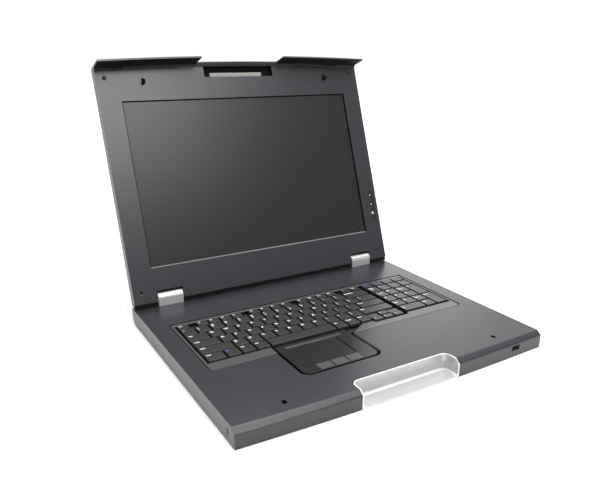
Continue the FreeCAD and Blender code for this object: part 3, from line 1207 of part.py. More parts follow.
def lid_fasteners():
    """Four screws that hold the bezel, and the four round plugs over them."""
    screws, plugs = [], []
    for number, (sign, along) in enumerate(plug_places()):
        centre = ("%splug_side" % sign, up(along))
        screws.append(rod("lid_screw_%d" % number, centre + (SHELL_BACK + " + 2.5 * shell_wall",),
                          "screw_radius - screw_play",
                          "lid_thick - plug_deep - 2.5 * shell_wall"))
        plugs.append(rod("lid_plug_%d" % number, centre + (out("-plug_deep"),), "plug_radius",
                         "plug_deep - plug_sunk"))
    keep("bezel_screws", group("bezel_screw_group", *screws), lid=True)
    keep("screw_plugs", group("screw_plug_group", *plugs), lid=True)


def control_buttons():
    """Three round buttons, each with a collar behind the bezel."""
    for label, place in zip(("power_button", "select_button", "menu_button"), control_places()):
        collar_top = "hinge_drop - bezel_wall - control_gap"
        stem = rod(label + "_stem", ("control_side", place, collar_top + " - control_collar_thick"),
                   "control_radius", "%s - (%s) + control_collar_thick" % (
                       out("-recess_deep + control_proud"), collar_top))
        collar = rod(label + "_collar", ("control_side", place, collar_top + " - control_collar_thick"),
                     "control_collar", "control_collar_thick")
        keep(label, joined(label + "_shape", stem, collar), lid=True)


def latch():
    """Finger pocket in the free edge, and the sliding bar with its two hooks and silver grip."""
    deep, wall = out("-pocket_deep"), "pocket_wall"
    under = out("-bezel_wall")
    outer = block("pocket_outer", ("-pocket_half - pocket_flange", "pocket_half + pocket_flange"),
                  (up("pocket_low") + " - " + wall, up("pocket_high") + " + " + wall),
                  (deep + " - " + wall, under))
    inner = block("pocket_inner", ("-pocket_half", "pocket_half"), (up("pocket_low"), up("pocket_high")),
                  (deep, under + " + 1"))
    slot = block("pocket_slot", ("-grip_left - grip_end_gap", "grip_right + grip_end_gap"),
                 (up("pocket_low") + " - 2 * " + wall, up("pocket_low") + " + 1"),
                 (out("-bar_drop - bar_sheet - bar_play"), out("-bar_drop + bar_play")))
    keep("finger_pocket", cut("finger_pocket_shape", outer, inner, slot), lid=True)
    bar_out = (out("-bar_drop - bar_sheet"), out("-bar_drop"))
    strip = block("bar_strip", ("-bar_half", "bar_half"), (up("bar_low"), up("bar_high")), bar_out)
    tongue = block("bar_tongue", ("-grip_left + tongue_inset", "grip_right - tongue_inset"),
                   (up("bar_high - 1"), up("grip_low")), bar_out)
    keep("latch_bar", joined("latch_bar_shape", strip, tongue), lid=True)
    grip = padded("grip", "YZ_Plane", [
        (up("grip_low"), out("-bar_drop - bar_sheet")), (up("grip_high"), out("-bar_drop - bar_sheet")),
        (up("grip_high"), out("-grip_drop + grip_slope"), "bar_sheet / 2"),
        (up("grip_low"), out("-grip_drop"), "bar_sheet / 4")],
        "-grip_left", "grip_right")
    keep("release_grip", grip, lid=True)
    hooks = []
    for side, sign in (("left", "-"), ("right", "")):
        middle = "%shook_place" % sign
        hooks.append(padded("hook_" + side, "YZ_Plane", [
            (up("hook_along - hook_shank / 2"), out("-bar_drop")),
            (up("hook_along + hook_shank / 2"), out("-bar_drop")),
            (up("hook_along + hook_shank / 2"), out("hook_reach - hook_toe_thick")),
            (up("hook_along + hook_shank / 2 + hook_toe"), out("hook_reach - hook_toe_thick")),
            (up("hook_along + hook_shank / 2 + 0.4"), out("hook_reach")),
            (up("hook_along - hook_shank / 2"), out("hook_reach"))],
            middle + " - hook_wide / 2", middle + " + hook_wide / 2"))
    keep("latch_hooks", group("latch_hook_pair", *hooks), lid=True)


# ---------------------------------------------------------------- build and write


def build():
    base_pan()
    top_cover()
    cover_screws()
    handle_insert()
    key_groups()
    keyboard_plate()
    keyboard_sheets()
    keyboard_frame()
    arrow_fillers()
    touchpad()
    front_port()
    rear_sockets()
    tray_boards()
    hinges()
    lid_shell()
    lid_bezel()
    screen()
    lid_electronics()
    lid_fasteners()
    control_buttons()
    latch()
    doc.recompute()


def check():
    """Stop before anything is written if an object failed or a shape is unsound."""
    for item in doc.Objects:
        if "Invalid" in item.State or "Error" in item.State:
            raise RuntimeError("%s failed: %s" % (item.Name, item.State))
    for label, piece in NODES.items():
        if piece.Shape.isNull() or not piece.Shape.isValid() or not piece.Shape.Solids:
            raise RuntimeError("%s has no sound shape" % label)


def write():
    os.makedirs("parts", exist_ok=True)
    for label, piece in NODES.items():
        piece.Label = label
        piece.Shape.exportStep("parts/%s.step" % label)
        box = piece.Shape.BoundBox
        print("%-22s %2d solids  x %7.1f %7.1f  y %7.1f %7.1f  z %6.1f %6.1f" % (
            label, len(piece.Shape.Solids), box.XMin, box.XMax, box.YMin, box.YMax, box.ZMin, box.ZMax))


build()
check()
write()
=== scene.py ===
import json
import math

import bmesh
import bpy
from mathutils import Matrix, Vector

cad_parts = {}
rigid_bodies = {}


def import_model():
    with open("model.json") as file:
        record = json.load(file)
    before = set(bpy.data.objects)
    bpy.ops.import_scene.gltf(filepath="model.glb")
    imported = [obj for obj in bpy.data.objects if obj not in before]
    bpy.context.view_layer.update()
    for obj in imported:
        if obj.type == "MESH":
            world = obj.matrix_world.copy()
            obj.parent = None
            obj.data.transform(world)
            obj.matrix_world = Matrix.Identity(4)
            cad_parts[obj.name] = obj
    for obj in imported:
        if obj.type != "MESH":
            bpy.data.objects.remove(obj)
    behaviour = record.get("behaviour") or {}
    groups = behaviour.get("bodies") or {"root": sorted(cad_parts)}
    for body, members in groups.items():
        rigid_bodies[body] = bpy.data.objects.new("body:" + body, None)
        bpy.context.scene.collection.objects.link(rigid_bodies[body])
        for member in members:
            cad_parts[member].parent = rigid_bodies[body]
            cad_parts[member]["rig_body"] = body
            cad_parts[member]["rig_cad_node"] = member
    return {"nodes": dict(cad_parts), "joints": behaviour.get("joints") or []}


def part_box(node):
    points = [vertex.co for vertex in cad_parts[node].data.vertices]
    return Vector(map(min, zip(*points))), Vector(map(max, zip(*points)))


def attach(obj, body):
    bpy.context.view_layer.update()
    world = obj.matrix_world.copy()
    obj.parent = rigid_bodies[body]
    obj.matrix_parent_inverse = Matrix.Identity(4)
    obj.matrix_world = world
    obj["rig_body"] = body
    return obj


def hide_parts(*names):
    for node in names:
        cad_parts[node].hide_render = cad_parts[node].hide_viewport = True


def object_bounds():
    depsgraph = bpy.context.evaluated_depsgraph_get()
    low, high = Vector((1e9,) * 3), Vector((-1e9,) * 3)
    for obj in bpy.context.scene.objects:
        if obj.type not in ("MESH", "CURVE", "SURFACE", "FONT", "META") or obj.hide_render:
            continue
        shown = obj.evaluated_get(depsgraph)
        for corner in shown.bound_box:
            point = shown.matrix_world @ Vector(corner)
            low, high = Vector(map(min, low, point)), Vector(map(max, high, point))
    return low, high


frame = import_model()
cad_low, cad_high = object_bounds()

nodes = frame["nodes"]

# Camera: it stands in front of the tray and to its left, a little higher than the open lid's top edge,
# and looks down on the keyboard. The lens takes in the whole object with a margin.
turn, drop, roll = 0.5385, 0.3173, 0.0074
stand = (-0.4188, -0.6246, 0.3630)
ahead = Vector((math.sin(turn) * math.cos(drop), math.cos(turn) * math.cos(drop), -math.sin(drop)))
level = Vector((math.cos(turn), -math.sin(turn), 0))
upright = level.cross(ahead)
across = math.cos(roll) * level + math.sin(roll) * upright
camera_data = bpy.data.cameras.new("camera")
camera_data.sensor_width = 36
camera_data.lens = 37.08
camera = bpy.data.objects.new("camera", camera_data)
bpy.context.collection.objects.link(camera)
axes = Matrix((across, (-ahead).cross(across), -ahead)).transposed()
camera.matrix_world = Matrix.Translation(stand) @ axes.to_4x4()
bpy.context.scene.camera = camera
bpy.context.scene.view_settings.view_transform = "Standard"

# Studio: a plain pale floor in a white surround, which glossy surfaces see darker towards the front,
# where the room is. One broad softbox hangs overhead, one stands high in front and one low behind.
floor_side, floor_gap = 14, 0.0003
floor_glow, far_floor_glow = 0.35, 1.0
glow_start, glow_end = 0.7, 2.2
surround_light, surround_shown, room_shown = 0.22, 1.0, 0.35
room_start, room_end = 0.25, -0.35


def seen_by(tree, *kinds):
    """One for the kinds of ray that see the background, and nought for those that only light."""
    rays = tree.nodes.new("ShaderNodeLightPath")
    total = rays.outputs[kinds[0]]
    for kind in kinds[1:]:
        either = tree.nodes.new("ShaderNodeMath")
        either.operation = "MAXIMUM"
        tree.links.new(total, either.inputs[0])
        tree.links.new(rays.outputs[kind], either.inputs[1])
        total = either.outputs[0]
    return total


def ramp(tree, source, ends, values):
    """Values between two ends of a source, as a node's output."""
    blend = tree.nodes.new("ShaderNodeMapRange")
    sockets = zip(("From Min", "From Max", "To Min", "To Max"), (*ends, *values))
    for label, value in sockets:
        if hasattr(value, "links"):
            tree.links.new(value, blend.inputs[label])
        else:
            blend.inputs[label].default_value = value
    tree.links.new(source, blend.inputs["Value"])
    return blend.outputs["Result"]


bpy.ops.object.select_all(action="DESELECT")
bpy.ops.mesh.primitive_plane_add(size=floor_side, location=(0, 0, cad_low.z - floor_gap))
floor = bpy.context.object
floor.name = "floor"
floor_paint = bpy.data.materials.new("floor_paint")
floor_paint.use_nodes = True
floor_tree = floor_paint.node_tree
floor_shader = floor_tree.nodes["Principled BSDF"]
floor_shader.inputs["Base Color"].default_value = (0.93, 0.93, 0.92, 1)
floor_shader.inputs["Roughness"].default_value = 0.9
floor_shader.inputs["Specular IOR Level"].default_value = 0.1
floor_shader.inputs["Emission Color"].default_value = (1, 1, 1, 1)
floor_place = floor_tree.nodes.new("ShaderNodeTexCoord")
floor_reach = floor_tree.nodes.new("ShaderNodeVectorMath")
floor_reach.operation = "LENGTH"
floor_tree.links.new(floor_place.outputs["Object"], floor_reach.inputs[0])
glow = ramp(floor_tree, floor_reach.outputs["Value"], (glow_start, glow_end), (floor_glow, far_floor_glow))
floor_seen = seen_by(floor_tree, "Is Camera Ray", "Is Glossy Ray", "Is Transmission Ray")
shown_glow = ramp(floor_tree, floor_seen, (0, 1), (0, glow))
floor_tree.links.new(shown_glow, floor_shader.inputs["Emission Strength"])
floor.data.materials.append(floor_paint)

world = bpy.data.worlds.new("surround")
world.use_nodes = True
bpy.context.scene.world = world
world_tree = world.node_tree
heading = world_tree.nodes.new("ShaderNodeTexCoord")
directions = world_tree.nodes.new("ShaderNodeSeparateXYZ")
world_tree.links.new(heading.outputs["Generated"], directions.inputs[0])
room = ramp(world_tree, directions.outputs["Y"], (room_end, room_start), (room_shown, surround_shown))
reflected = seen_by(world_tree, "Is Glossy Ray", "Is Transmission Ray")
lit = ramp(world_tree, reflected, (0, 1), (surround_light, room))
direct = seen_by(world_tree, "Is Camera Ray")
backdrop = world_tree.nodes["Background"]
world_tree.links.new(ramp(world_tree, direct, (0, 1), (lit, surround_shown)), backdrop.inputs["Strength"])
backdrop.inputs["Color"].default_value = (1, 1, 1, 1)


def softbox(name, place, aim, wide, high, power):
    """A rectangular lamp at a place, turned to face what it lights."""
    lamp = bpy.data.lights.new(name, "AREA")
    lamp.shape = "RECTANGLE"
    lamp.size, lamp.size_y = wide, high
    lamp.energy = power
    holder = bpy.data.objects.new(name, lamp)
    holder.location = place
    holder.rotation_euler = (Vector(aim) - Vector(place)).to_track_quat("-Z", "Y").to_euler()
    bpy.context.collection.objects.link(holder)


softbox("overhead_softbox", (0.15, 0.1, 1.9), (0, 0, 0), 2.7, 1.8, 50)
softbox("front_softbox", (0.4, -2.3, 2.2), (0, 0.2, 0.15), 1.5, 1.1, 36)
softbox("rear_softbox", (1.5, 2.2, 0.9), (0.2, 0, 0), 1.8, 1.0, 6)

# Floor pan: one piece of folded steel sheet, sprayed light grey with a satin paint. Its two side
# walls are what shows beside the charcoal cover, each with an upright slot for the rack slide.


def grain_group():
    """A node group: cloudy and fine variation of a colour and a roughness, and the grain's height."""
    group = bpy.data.node_groups.new("fine_grain", "ShaderNodeTree")
    face = group.interface
    for label, kind in (("Base Color", "Color"), ("Mottling", "Float"), ("Roughness", "Float"),
                        ("Grain Scale", "Float")):
        face.new_socket(label, in_out="INPUT", socket_type="NodeSocket" + kind)
    for label, kind in (("Color", "Color"), ("Roughness", "Float"), ("Height", "Float")):
        face.new_socket(label, in_out="OUTPUT", socket_type="NodeSocket" + kind)
    tree, link = group.nodes, group.links.new
    given, result = tree.new("NodeGroupInput"), tree.new("NodeGroupOutput")
    place = tree.new("ShaderNodeTexCoord")
    fine = tree.new("ShaderNodeTexNoise")
    fine.inputs["Detail"].default_value = 3
    link(place.outputs["Object"], fine.inputs["Vector"])
    link(given.outputs["Grain Scale"], fine.inputs["Scale"])
    clouds = tree.new("ShaderNodeTexNoise")
    clouds.inputs["Scale"].default_value = 14
    clouds.inputs["Detail"].default_value = 4
    link(place.outputs["Object"], clouds.inputs["Vector"])
    both = tree.new("ShaderNodeMath")
    both.operation = "ADD"
    link(fine.outputs["Fac"], both.inputs[0])
    link(clouds.outputs["Fac"], both.inputs[1])
    signed = tree.new("ShaderNodeMath")
    signed.operation = "SUBTRACT"
    signed.inputs[1].default_value = 1.0
    link(both.outputs[0], signed.inputs[0])
    amount = tree.new("ShaderNodeMath")
    amount.operation = "MULTIPLY_ADD"
    amount.inputs[2].default_value = 1.0
    link(signed.outputs[0], amount.inputs[0])
    link(given.outputs["Mottling"], amount.inputs[1])
    shade = tree.new("ShaderNodeVectorMath")
    shade.operation = "SCALE"
    link(given.outputs["Base Color"], shade.inputs[0])
    link(amount.outputs[0], shade.inputs["Scale"])
    rough = tree.new("ShaderNodeMath")
    rough.operation = "MULTIPLY"
    rough.use_clamp = True
    link(given.outputs["Roughness"], rough.inputs[0])
    link(amount.outputs[0], rough.inputs[1])
    link(shade.outputs[0], result.inputs["Color"])
    link(rough.outputs[0], result.inputs["Roughness"])
    link(fine.outputs["Fac"], result.inputs["Height"])
    return group


fine_grain = grain_group()


def finish(name, colour, rough, grain=1500.0, bump=0.05, mottling=0.12, metal=0.0, gloss=0.5):
    """A material of a colour and a roughness, which the grain group varies and gives a relief."""
    material = bpy.data.materials.new(name)
    material.use_nodes = True
    tree, link = material.node_tree.nodes, material.node_tree.links.new
    shader = tree["Principled BSDF"]
    shader.inputs["Metallic"].default_value = metal
    shader.inputs["Specular IOR Level"].default_value = gloss
    grainy = tree.new("ShaderNodeGroup")
    grainy.node_tree = fine_grain
    grainy.inputs["Base Color"].default_value = (*colour, 1)
    grainy.inputs["Mottling"].default_value = mottling
    grainy.inputs["Roughness"].default_value = rough
    grainy.inputs["Grain Scale"].default_value = grain
    relief = tree.new("ShaderNodeBump")
    relief.inputs["Strength"].default_value = bump
    relief.inputs["Distance"].default_value = 0.0003
    link(grainy.outputs["Color"], shader.inputs["Base Color"])
    link(grainy.outputs["Roughness"], shader.inputs["Roughness"])
    link(grainy.outputs["Height"], relief.inputs["Height"])
    link(relief.outputs["Normal"], shader.inputs["Normal"])
    return material


def alone(piece):
    """Make a piece the only one selected, and the active one."""
    bpy.ops.object.select_all(action="DESELECT")
    bpy.context.view_layer.objects.active = piece
    piece.select_set(True)
    return piece


def done():
    """Leave edit mode."""
    bpy.ops.object.mode_set(mode="OBJECT")


def merged_copy(node, name, into=None):
    """A copy of a CAD node with its seams merged and its flat faces joined, in the given frame."""
    piece = nodes[node].copy()
    piece.data = nodes[node].data.copy()
    piece.parent = None
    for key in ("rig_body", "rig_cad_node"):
        if key in piece:
            del piece[key]
    bpy.context.collection.objects.link(piece)
    piece.name = name
    if into:
        piece.data.transform(into)
    alone(piece)
    bpy.ops.object.mode_set(mode="EDIT")
    bpy.ops.mesh.select_all(action="SELECT")
    bpy.ops.mesh.remove_doubles(threshold=0.000005)
    bpy.ops.mesh.dissolve_limited(angle_limit=math.radians(0.2))
    done()
    return piece


def rounded(piece, rounding, segments=2, keen=30):
    """A piece with its edges rounded where they are keener than the angle, and its flats shaded flat."""
    alone(piece)
    edges = piece.modifiers.new("rounding", "BEVEL")
    edges.width = rounding
    edges.segments = segments
    edges.limit_method = "ANGLE"
    edges.angle_limit = math.radians(keen)
    edges.use_clamp_overlap = True
    bpy.ops.object.modifier_apply(modifier=edges.name)
    bpy.ops.object.shade_smooth_by_angle(angle=math.radians(35))
    flats = piece.modifiers.new("flats", "WEIGHTED_NORMAL")
    flats.keep_sharp = True
    bpy.ops.object.modifier_apply(modifier=flats.name)
    return piece


def dress(piece, material, slot, body, *replaced):
    """A piece gets its material, its body and the nodes it stands for. The slot is not used."""
    piece.data.materials.clear()
    piece.data.materials.append(material)
    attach(piece, body)
    if replaced:
        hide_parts(*replaced)
    return piece


grey_paint = finish("grey_paint", (0.15, 0.15, 0.155), 0.45, grain=2200, bump=0.06)
dress(rounded(merged_copy("base_pan", "floor_pan"), 0.0003), grey_paint, "light_grey_paint", "tray",
      "base_pan")

# Cover: charcoal powder coat on steel, with a sloped nose bent along the bowed front edge. Its
# openings take the keyboard and the touch pad from below.
charcoal_paint = finish("charcoal_paint", (0.030, 0.031, 0.037), 0.30, grain=2600, bump=0.10, gloss=0.6)
cover = dress(rounded(merged_copy("top_cover", "cover"), 0.0006), charcoal_paint, "charcoal_paint", "tray",
              "top_cover")
cover_top = max(vertex.co.z for vertex in cover.data.vertices)

# Finger scoop: a silver moulding let into the front edge, with a rim that stands just proud of the cover,
# and a rounded cove between its wall and its floor. The rim, the cove's lower bend and the open lip are
# painted near white as a painted highlight, and the upright wall a darker silver as painted shade.
scoop_cove = 0.0040
scoop_floor_level = 0.0020
scoop_rim, scoop_lip, wall_foot = 0.0009, 0.0022, 0.0025
bend_middle, bend_half = 0.0010, 0.0008


def select_edges(piece, chosen):
    """Enter edit mode with only the edges selected that pass the test."""
    alone(piece)
    bpy.ops.object.mode_set(mode="EDIT")
    bpy.ops.mesh.select_mode(type="EDGE")
    bpy.ops.mesh.select_all(action="DESELECT")
    mesh = bmesh.from_edit_mesh(piece.data)
    for edge in mesh.edges:
        edge.select_set(chosen(edge))
    bmesh.update_edit_mesh(piece.data)


def meets_floor(edge):
    """An inner edge at the level of the scoop's floor."""
    at_floor = all(abs(vertex.co.z - scoop_floor_level) < 0.00005 for vertex in edge.verts)
    return at_floor and edge.is_manifold and edge.calc_face_angle_signed() < -0.5


scoop = merged_copy("handle_insert", "finger_scoop")
select_edges(scoop, meets_floor)
bpy.ops.mesh.bevel(offset=scoop_cove, segments=6)
done()
silver = finish("silver", (0.68, 0.68, 0.69), 0.24, grain=3000, bump=0.04, mottling=0.05, metal=0.35)
dress(rounded(scoop, scoop_rim, 3, keen=50), silver, "silver_plastic", "tray", "handle_insert")
silver_highlight_paint = finish("silver_highlight_paint", (0.92, 0.92, 0.92), 0.3)
scoop_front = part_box("handle_insert")[0].y


def highlight_bends(middle, normal):
    """The rounded top of the rim, the lower bend of the cove and the lip round the open front, which get a
    painted highlight.
    """
    rim = middle.z > cover_top - scoop_rim
    cove = abs(middle.z - scoop_floor_level - bend_middle) < bend_half and 0.55 < normal.z < 0.92
    lip = middle.y < scoop_front + scoop_lip and middle.z > scoop_floor_level
    return rim or cove or lip


def shaded_wall(middle, normal):
    """The upright wall between the rim and the cove, which gets painted shade."""
    return (abs(normal.z) < 0.4 and middle.y > scoop_front + scoop_lip
            and scoop_floor_level + wall_foot < middle.z < cover_top - scoop_rim)


def accent(piece, material, chosen):
    """The faces whose middle and normal pass the test get one more material."""
    piece.data.materials.append(material)
    for face in piece.data.polygons:
        if chosen(face.center, face.normal):
            face.material_index = len(piece.data.materials) - 1


# Painted highlight: near-white silver on the rim, the cove's lower bend and the lip.
accent(scoop, silver_highlight_paint, highlight_bends)
# Painted shade: a darker silver on the upright wall.
silver_shade_paint = finish("silver_shade_paint", (0.56, 0.56, 0.57), 0.24, grain=3000, bump=0.04, metal=0.4)
accent(scoop, silver_shade_paint, shaded_wall)

# Keyboard frame: a grey moulded rim that fills the cover's opening round the keys, with one corner
# cut away beside the touch pad.
frame_grey = finish("frame_grey", (0.085, 0.083, 0.079), 0.28, grain=2400, bump=0.08)
dress(rounded(merged_copy("keyboard_frame", "keyboard_rim"), 0.0004), frame_grey, "frame_plastic", "tray",
      "keyboard_frame")

# Key caps: black plastic with drawn-in sides, a longer front face and a shallow dish, hollow below.
# Their tops have a fine grain, and their sides are painted near black as painted shade in the gaps between
# the caps. One cap is modelled, and each key is a copy of it drawn out to the key's own width and depth.
cap_side, cap_tall = 0.01825, 0.0032
cap_taper, cap_shift = 0.0011, 0.0005
cap_corner, cap_edge = 0.0009, 0.00035
dish_border, dish_depth = 0.0003, 0.00012
cap_wall, cap_hollow = 0.0010, 0.0022
row_bands = 300


def select_faces(piece, chosen):
    """Enter edit mode with only the faces selected whose middle and normal pass the test."""
    alone(piece)
    bpy.ops.object.mode_set(mode="EDIT")
    bpy.ops.mesh.select_mode(type="FACE")
    bpy.ops.mesh.select_all(action="DESELECT")
    mesh = bmesh.from_edit_mesh(piece.data)
    for face in mesh.faces:
        face.select_set(chosen(face.calc_center_median(), face.normal))
    bmesh.update_edit_mesh(piece.data)


def new_block(name, low, high):
    """A fresh block between two corners, alone and selected, with its place in its mesh."""
    bpy.ops.object.select_all(action="DESELECT")
    low, high = Vector(low), Vector(high)
    bpy.ops.mesh.primitive_cube_add(size=1, location=(low + high) / 2)
    piece = bpy.context.object
    piece.name = name
    piece.scale = high - low
    bpy.ops.object.transform_apply(location=True, rotation=True, scale=True)
    return piece


def cap_blank():
    """The key cap that all the others are copied from, standing on z = 0 at the origin."""
    half = cap_side / 2
    cap = new_block("cap_blank", (-half, -half, 0), (half, half, cap_tall))
    select_faces(cap, lambda middle, normal: normal.z > 0.9)
    shrink = 1 - 2 * cap_taper / cap_side
    bpy.ops.transform.resize(value=(shrink, shrink, 1))
    bpy.ops.transform.translate(value=(0, cap_shift, 0))
    done()
    select_edges(cap, lambda edge: abs(edge.verts[0].co.z - edge.verts[1].co.z) > cap_tall / 2)
    bpy.ops.mesh.bevel(offset=cap_corner, segments=2)
    done()
    select_edges(cap, lambda edge: all(vertex.co.z > cap_tall - 0.0001 for vertex in edge.verts))
    bpy.ops.mesh.bevel(offset=cap_edge, segments=2)
    done()
    select_faces(cap, lambda middle, normal: normal.z > 0.99 and middle.z > cap_tall - 0.00001)
    bpy.ops.mesh.inset(thickness=dish_border, depth=-dish_depth)
    done()
    select_faces(cap, lambda middle, normal: normal.z < -0.9)
    bpy.ops.mesh.inset(thickness=cap_wall)
    bpy.ops.mesh.extrude_region_move(TRANSFORM_OT_translate={"value": (0, 0, cap_hollow)})
    bpy.ops.transform.resize(value=(shrink, shrink, 1))
    done()
    bpy.ops.object.shade_smooth_by_angle(angle=math.radians(40))
    flats = cap.modifiers.new("flats", "WEIGHTED_NORMAL")
    flats.weight = 100
    bpy.ops.object.modifier_apply(modifier=flats.name)
    return cap


def solids_of(node, into=None):
    """The box of each solid of a CAD node, as its lowest and its highest corner."""
    mesh = bmesh.new()
    mesh.from_mesh(nodes[node].data)
    bmesh.ops.remove_doubles(mesh, verts=mesh.verts, dist=0.000005)
    boxes, waiting = [], set(mesh.verts)
    while waiting:
        spread, found = [waiting.pop()], []
        while spread:
            vertex = spread.pop()
            found.append(into @ vertex.co if into else vertex.co.copy())
            beside = {edge.other_vert(vertex) for edge in vertex.link_edges} & waiting
            waiting -= beside
            spread.extend(beside)
        boxes.append((Vector(map(min, zip(*found))), Vector(map(max, zip(*found)))))
    mesh.free()
    return boxes


def in_reading_order(boxes):
    """Boxes from the front row to the back one, each row from the left, in so many bands a metre."""
    return sorted(boxes, key=lambda box: (round(box[0].y * row_bands), box[0].x))


def drawn_out(blank, box, name):
    """A copy of the blank cap as wide and as deep as the box, at the box's place."""
    low, high = box
    cap = blank.copy()
    cap.data = blank.data.copy()
    cap.name = name
    bpy.context.collection.objects.link(cap)
    more = ((high.x - low.x - cap_side) / 2, (high.y - low.y - cap_side) / 2)
    for vertex in cap.data.vertices:
        vertex.co.x += more[0] * math.copysign(1, vertex.co.x)
        vertex.co.y += more[1] * math.copysign(1, vertex.co.y)
    cap.data.transform(Matrix.Translation(((low.x + high.x) / 2, (low.y + high.y) / 2, low.z)))
    return cap


def fused(pieces, name):
    """Several pieces as one, under a new name."""
    alone(pieces[0])
    for piece in pieces:
        piece.select_set(True)
    if len(pieces) > 1:
        bpy.ops.object.join()
    pieces[0].name = name
    return pieces[0]


key_black = finish("key_black", (0.030, 0.030, 0.0293), 0.34, grain=3200, bump=0.12)
key_side_shade_paint = finish("key_side_shade_paint", (0.006, 0.006, 0.0065), 0.5, grain=3200, bump=0.05)
key_bodies = {"keys_control_row": "control_keys", "keys_lower_row": "lower_keys",
              "keys_home_row": "home_keys", "keys_upper_row": "upper_keys",
              "keys_number_row": "number_keys", "keys_function_row": "function_keys",
              "keys_number_pad": "pad_keys", "arrow_keys": "cursor_keys", "space_bar": "space_key",
              "enter_key": "return_key"}
blank = cap_blank()
key_boxes = {node: in_reading_order(solids_of(node)) for node in key_bodies}
for node, boxes in key_boxes.items():
    drawn = [drawn_out(blank, box, "cap_%d" % number) for number, box in enumerate(boxes)]
    caps = dress(fused(drawn, node + "_caps"), key_black, "key_plastic", key_bodies[node], node)
    # Painted shade: the sides and front faces of the caps are near black, for the shade in the gaps between
    # them.
    accent(caps, key_side_shade_paint, lambda middle, normal: normal.z < 0.6)
bpy.data.objects.remove(blank)
dress(rounded(merged_copy("arrow_key_fillers", "blank_fillers"), 0.0004), key_black, "key_plastic", "tray",
      "arrow_key_fillers")

# Key lettering: pad-printed white letters in the back left corner of each key's top, and blue ones
# on the keys of the second layer. Each row's lettering is one piece that goes down with its caps.
letter_size, word_size, pair_size = 0.0056, 0.0037, 0.0044
letter_inset, letter_lift = 0.0026, 0.00003
key_words = {
    "keys_control_row": "Ctrl|Fn|OS|Alt|Alt|Menu|Ctrl",
    "keys_lower_row": "Shift|Z|X|C|V|B|N|M|<\n,|>\n.|?\n/|Shift",
    "keys_home_row": "Caps|A|S|D|F|G|H|J|K|L|:\n;|\"\n'",
    "enter_key": "Enter",
    "keys_upper_row": "Tab|Q|W|E|R|T|Y|U|I|O|P|{\n[|}\n]|I\n\\",
    "keys_number_row": "~\n`|!\n1|@\n2|#\n3|$\n4|%\n5|^\n6|&\n7|*\n8|(\n9|)\n0|_\n-|+\n=|Backspace",
    "keys_function_row": "Esc|F1|F2|F3|F4|F5|F6|F7|F8|F9|F10|F11|F12|Ins|Del|Home|End|Up|Dn",
    "keys_number_pad": "0\nIns|.\nDel|Enter|1\nEnd|2|3\nPgDn|4|5|6|+|7\nHome|8|9\nPgUp|Num\nLock|/|*|-",
}
blue_keys = {"keys_control_row": (1,), "keys_function_row": (13, 15, 16, 17, 18)}


def lettering(words, size, corner):
    """Slightly raised lettering as a mesh, with its top left corner at a place."""
    bpy.ops.object.select_all(action="DESELECT")
    bpy.ops.object.text_add()
    text = bpy.context.object
    text.data.body = words
    text.data.resolution_u = 2
    text.data.offset = 0.04
    text.data.extrude = 0.005
    bpy.ops.object.convert(target="MESH")
    spots = [vertex.co for vertex in text.data.vertices]
    left, top = min(spot.x for spot in spots), max(spot.y for spot in spots)
    text.data.transform(Matrix.Translation(corner) @ Matrix.Scale(size, 4)
                        @ Matrix.Translation((-left, -top, 0)))
    return text


def key_corner(box):
    """Where a key's lettering starts, just above the floor of the dish."""
    low, high = box
    dish_floor = high.z - dish_depth
    return Vector((low.x + letter_inset, high.y - letter_inset + cap_shift, dish_floor + letter_lift))


white_ink = finish("white_ink", (0.92, 0.92, 0.90), 0.5, bump=0.0)
blue_ink = finish("blue_ink", (0.13, 0.24, 0.72), 0.5, bump=0.0)
for node, words in key_words.items():
    inks = {"white": [], "blue": []}
    for number, (box, word) in enumerate(zip(key_boxes[node], words.split("|"))):
        size = word_size
        if len(word) == 1:
            size = letter_size
        elif len(word) == 3 and "\n" in word:
            size = pair_size
        ink = "blue" if number in blue_keys.get(node, ()) else "white"
        inks[ink].append(lettering(word, size, key_corner(box)))
    for ink, material in (("white", white_ink), ("blue", blue_ink)):
        if inks[ink]:
            piece = fused(inks[ink], "%s_%s_letters" % (node, ink))
            dress(piece, material, "key_plastic", key_bodies[node])

arrow_size, arrow_thick, arrow_taper = 0.0013, 0.00004, 0.9
arrow_turns = (math.pi, -math.pi / 2, 0.0, math.pi / 2)
arrow_marks = []
for box, turned in zip(key_boxes["arrow_keys"], arrow_turns):
    bpy.ops.object.select_all(action="DESELECT")
    bpy.ops.mesh.primitive_cylinder_add(vertices=3, radius=arrow_size, depth=arrow_thick)
    mark = bpy.context.object
    select_faces(mark, lambda middle, normal: normal.z > 0.9)
    bpy.ops.transform.resize(value=(arrow_taper, arrow_taper, 1))
    done()
    spot = key_corner(box) + Vector((arrow_size, -arrow_size, 0))
    mark.data.transform(Matrix.Translation(spot) @ Matrix.Rotation(turned - math.pi / 2, 4, "Z"))
    arrow_marks.append(mark)
dress(fused(arrow_marks, "arrow_marks"), white_ink, "key_plastic", "cursor_keys")

# Under the keys: a switch plate left near black as painted shade where it shows in the gaps between the
# caps, the printed membrane below it, and three hat rails of plated steel that stand on the floor.


def wear(material, *names):
    """The CAD nodes of these names get the material."""
    for name in names:
        mesh = nodes[name].data
        mesh.materials.clear()
        mesh.materials.append(material)


# Painted shade: the plate is near black where it shows between the caps.
plate_shade_paint = finish("plate_shade_paint", (0.008, 0.008, 0.009), 0.6, grain=900, bump=0.05)
wear(plate_shade_paint, "keyboard_plate")
zinc = finish("zinc", (0.55, 0.55, 0.57), 0.35, grain=900, bump=0.05, metal=1.0)
wear(zinc, "keyboard_rails")
film = finish("membrane_film", (0.5, 0.5, 0.48), 0.5)
wear(film, "keyboard_membrane")

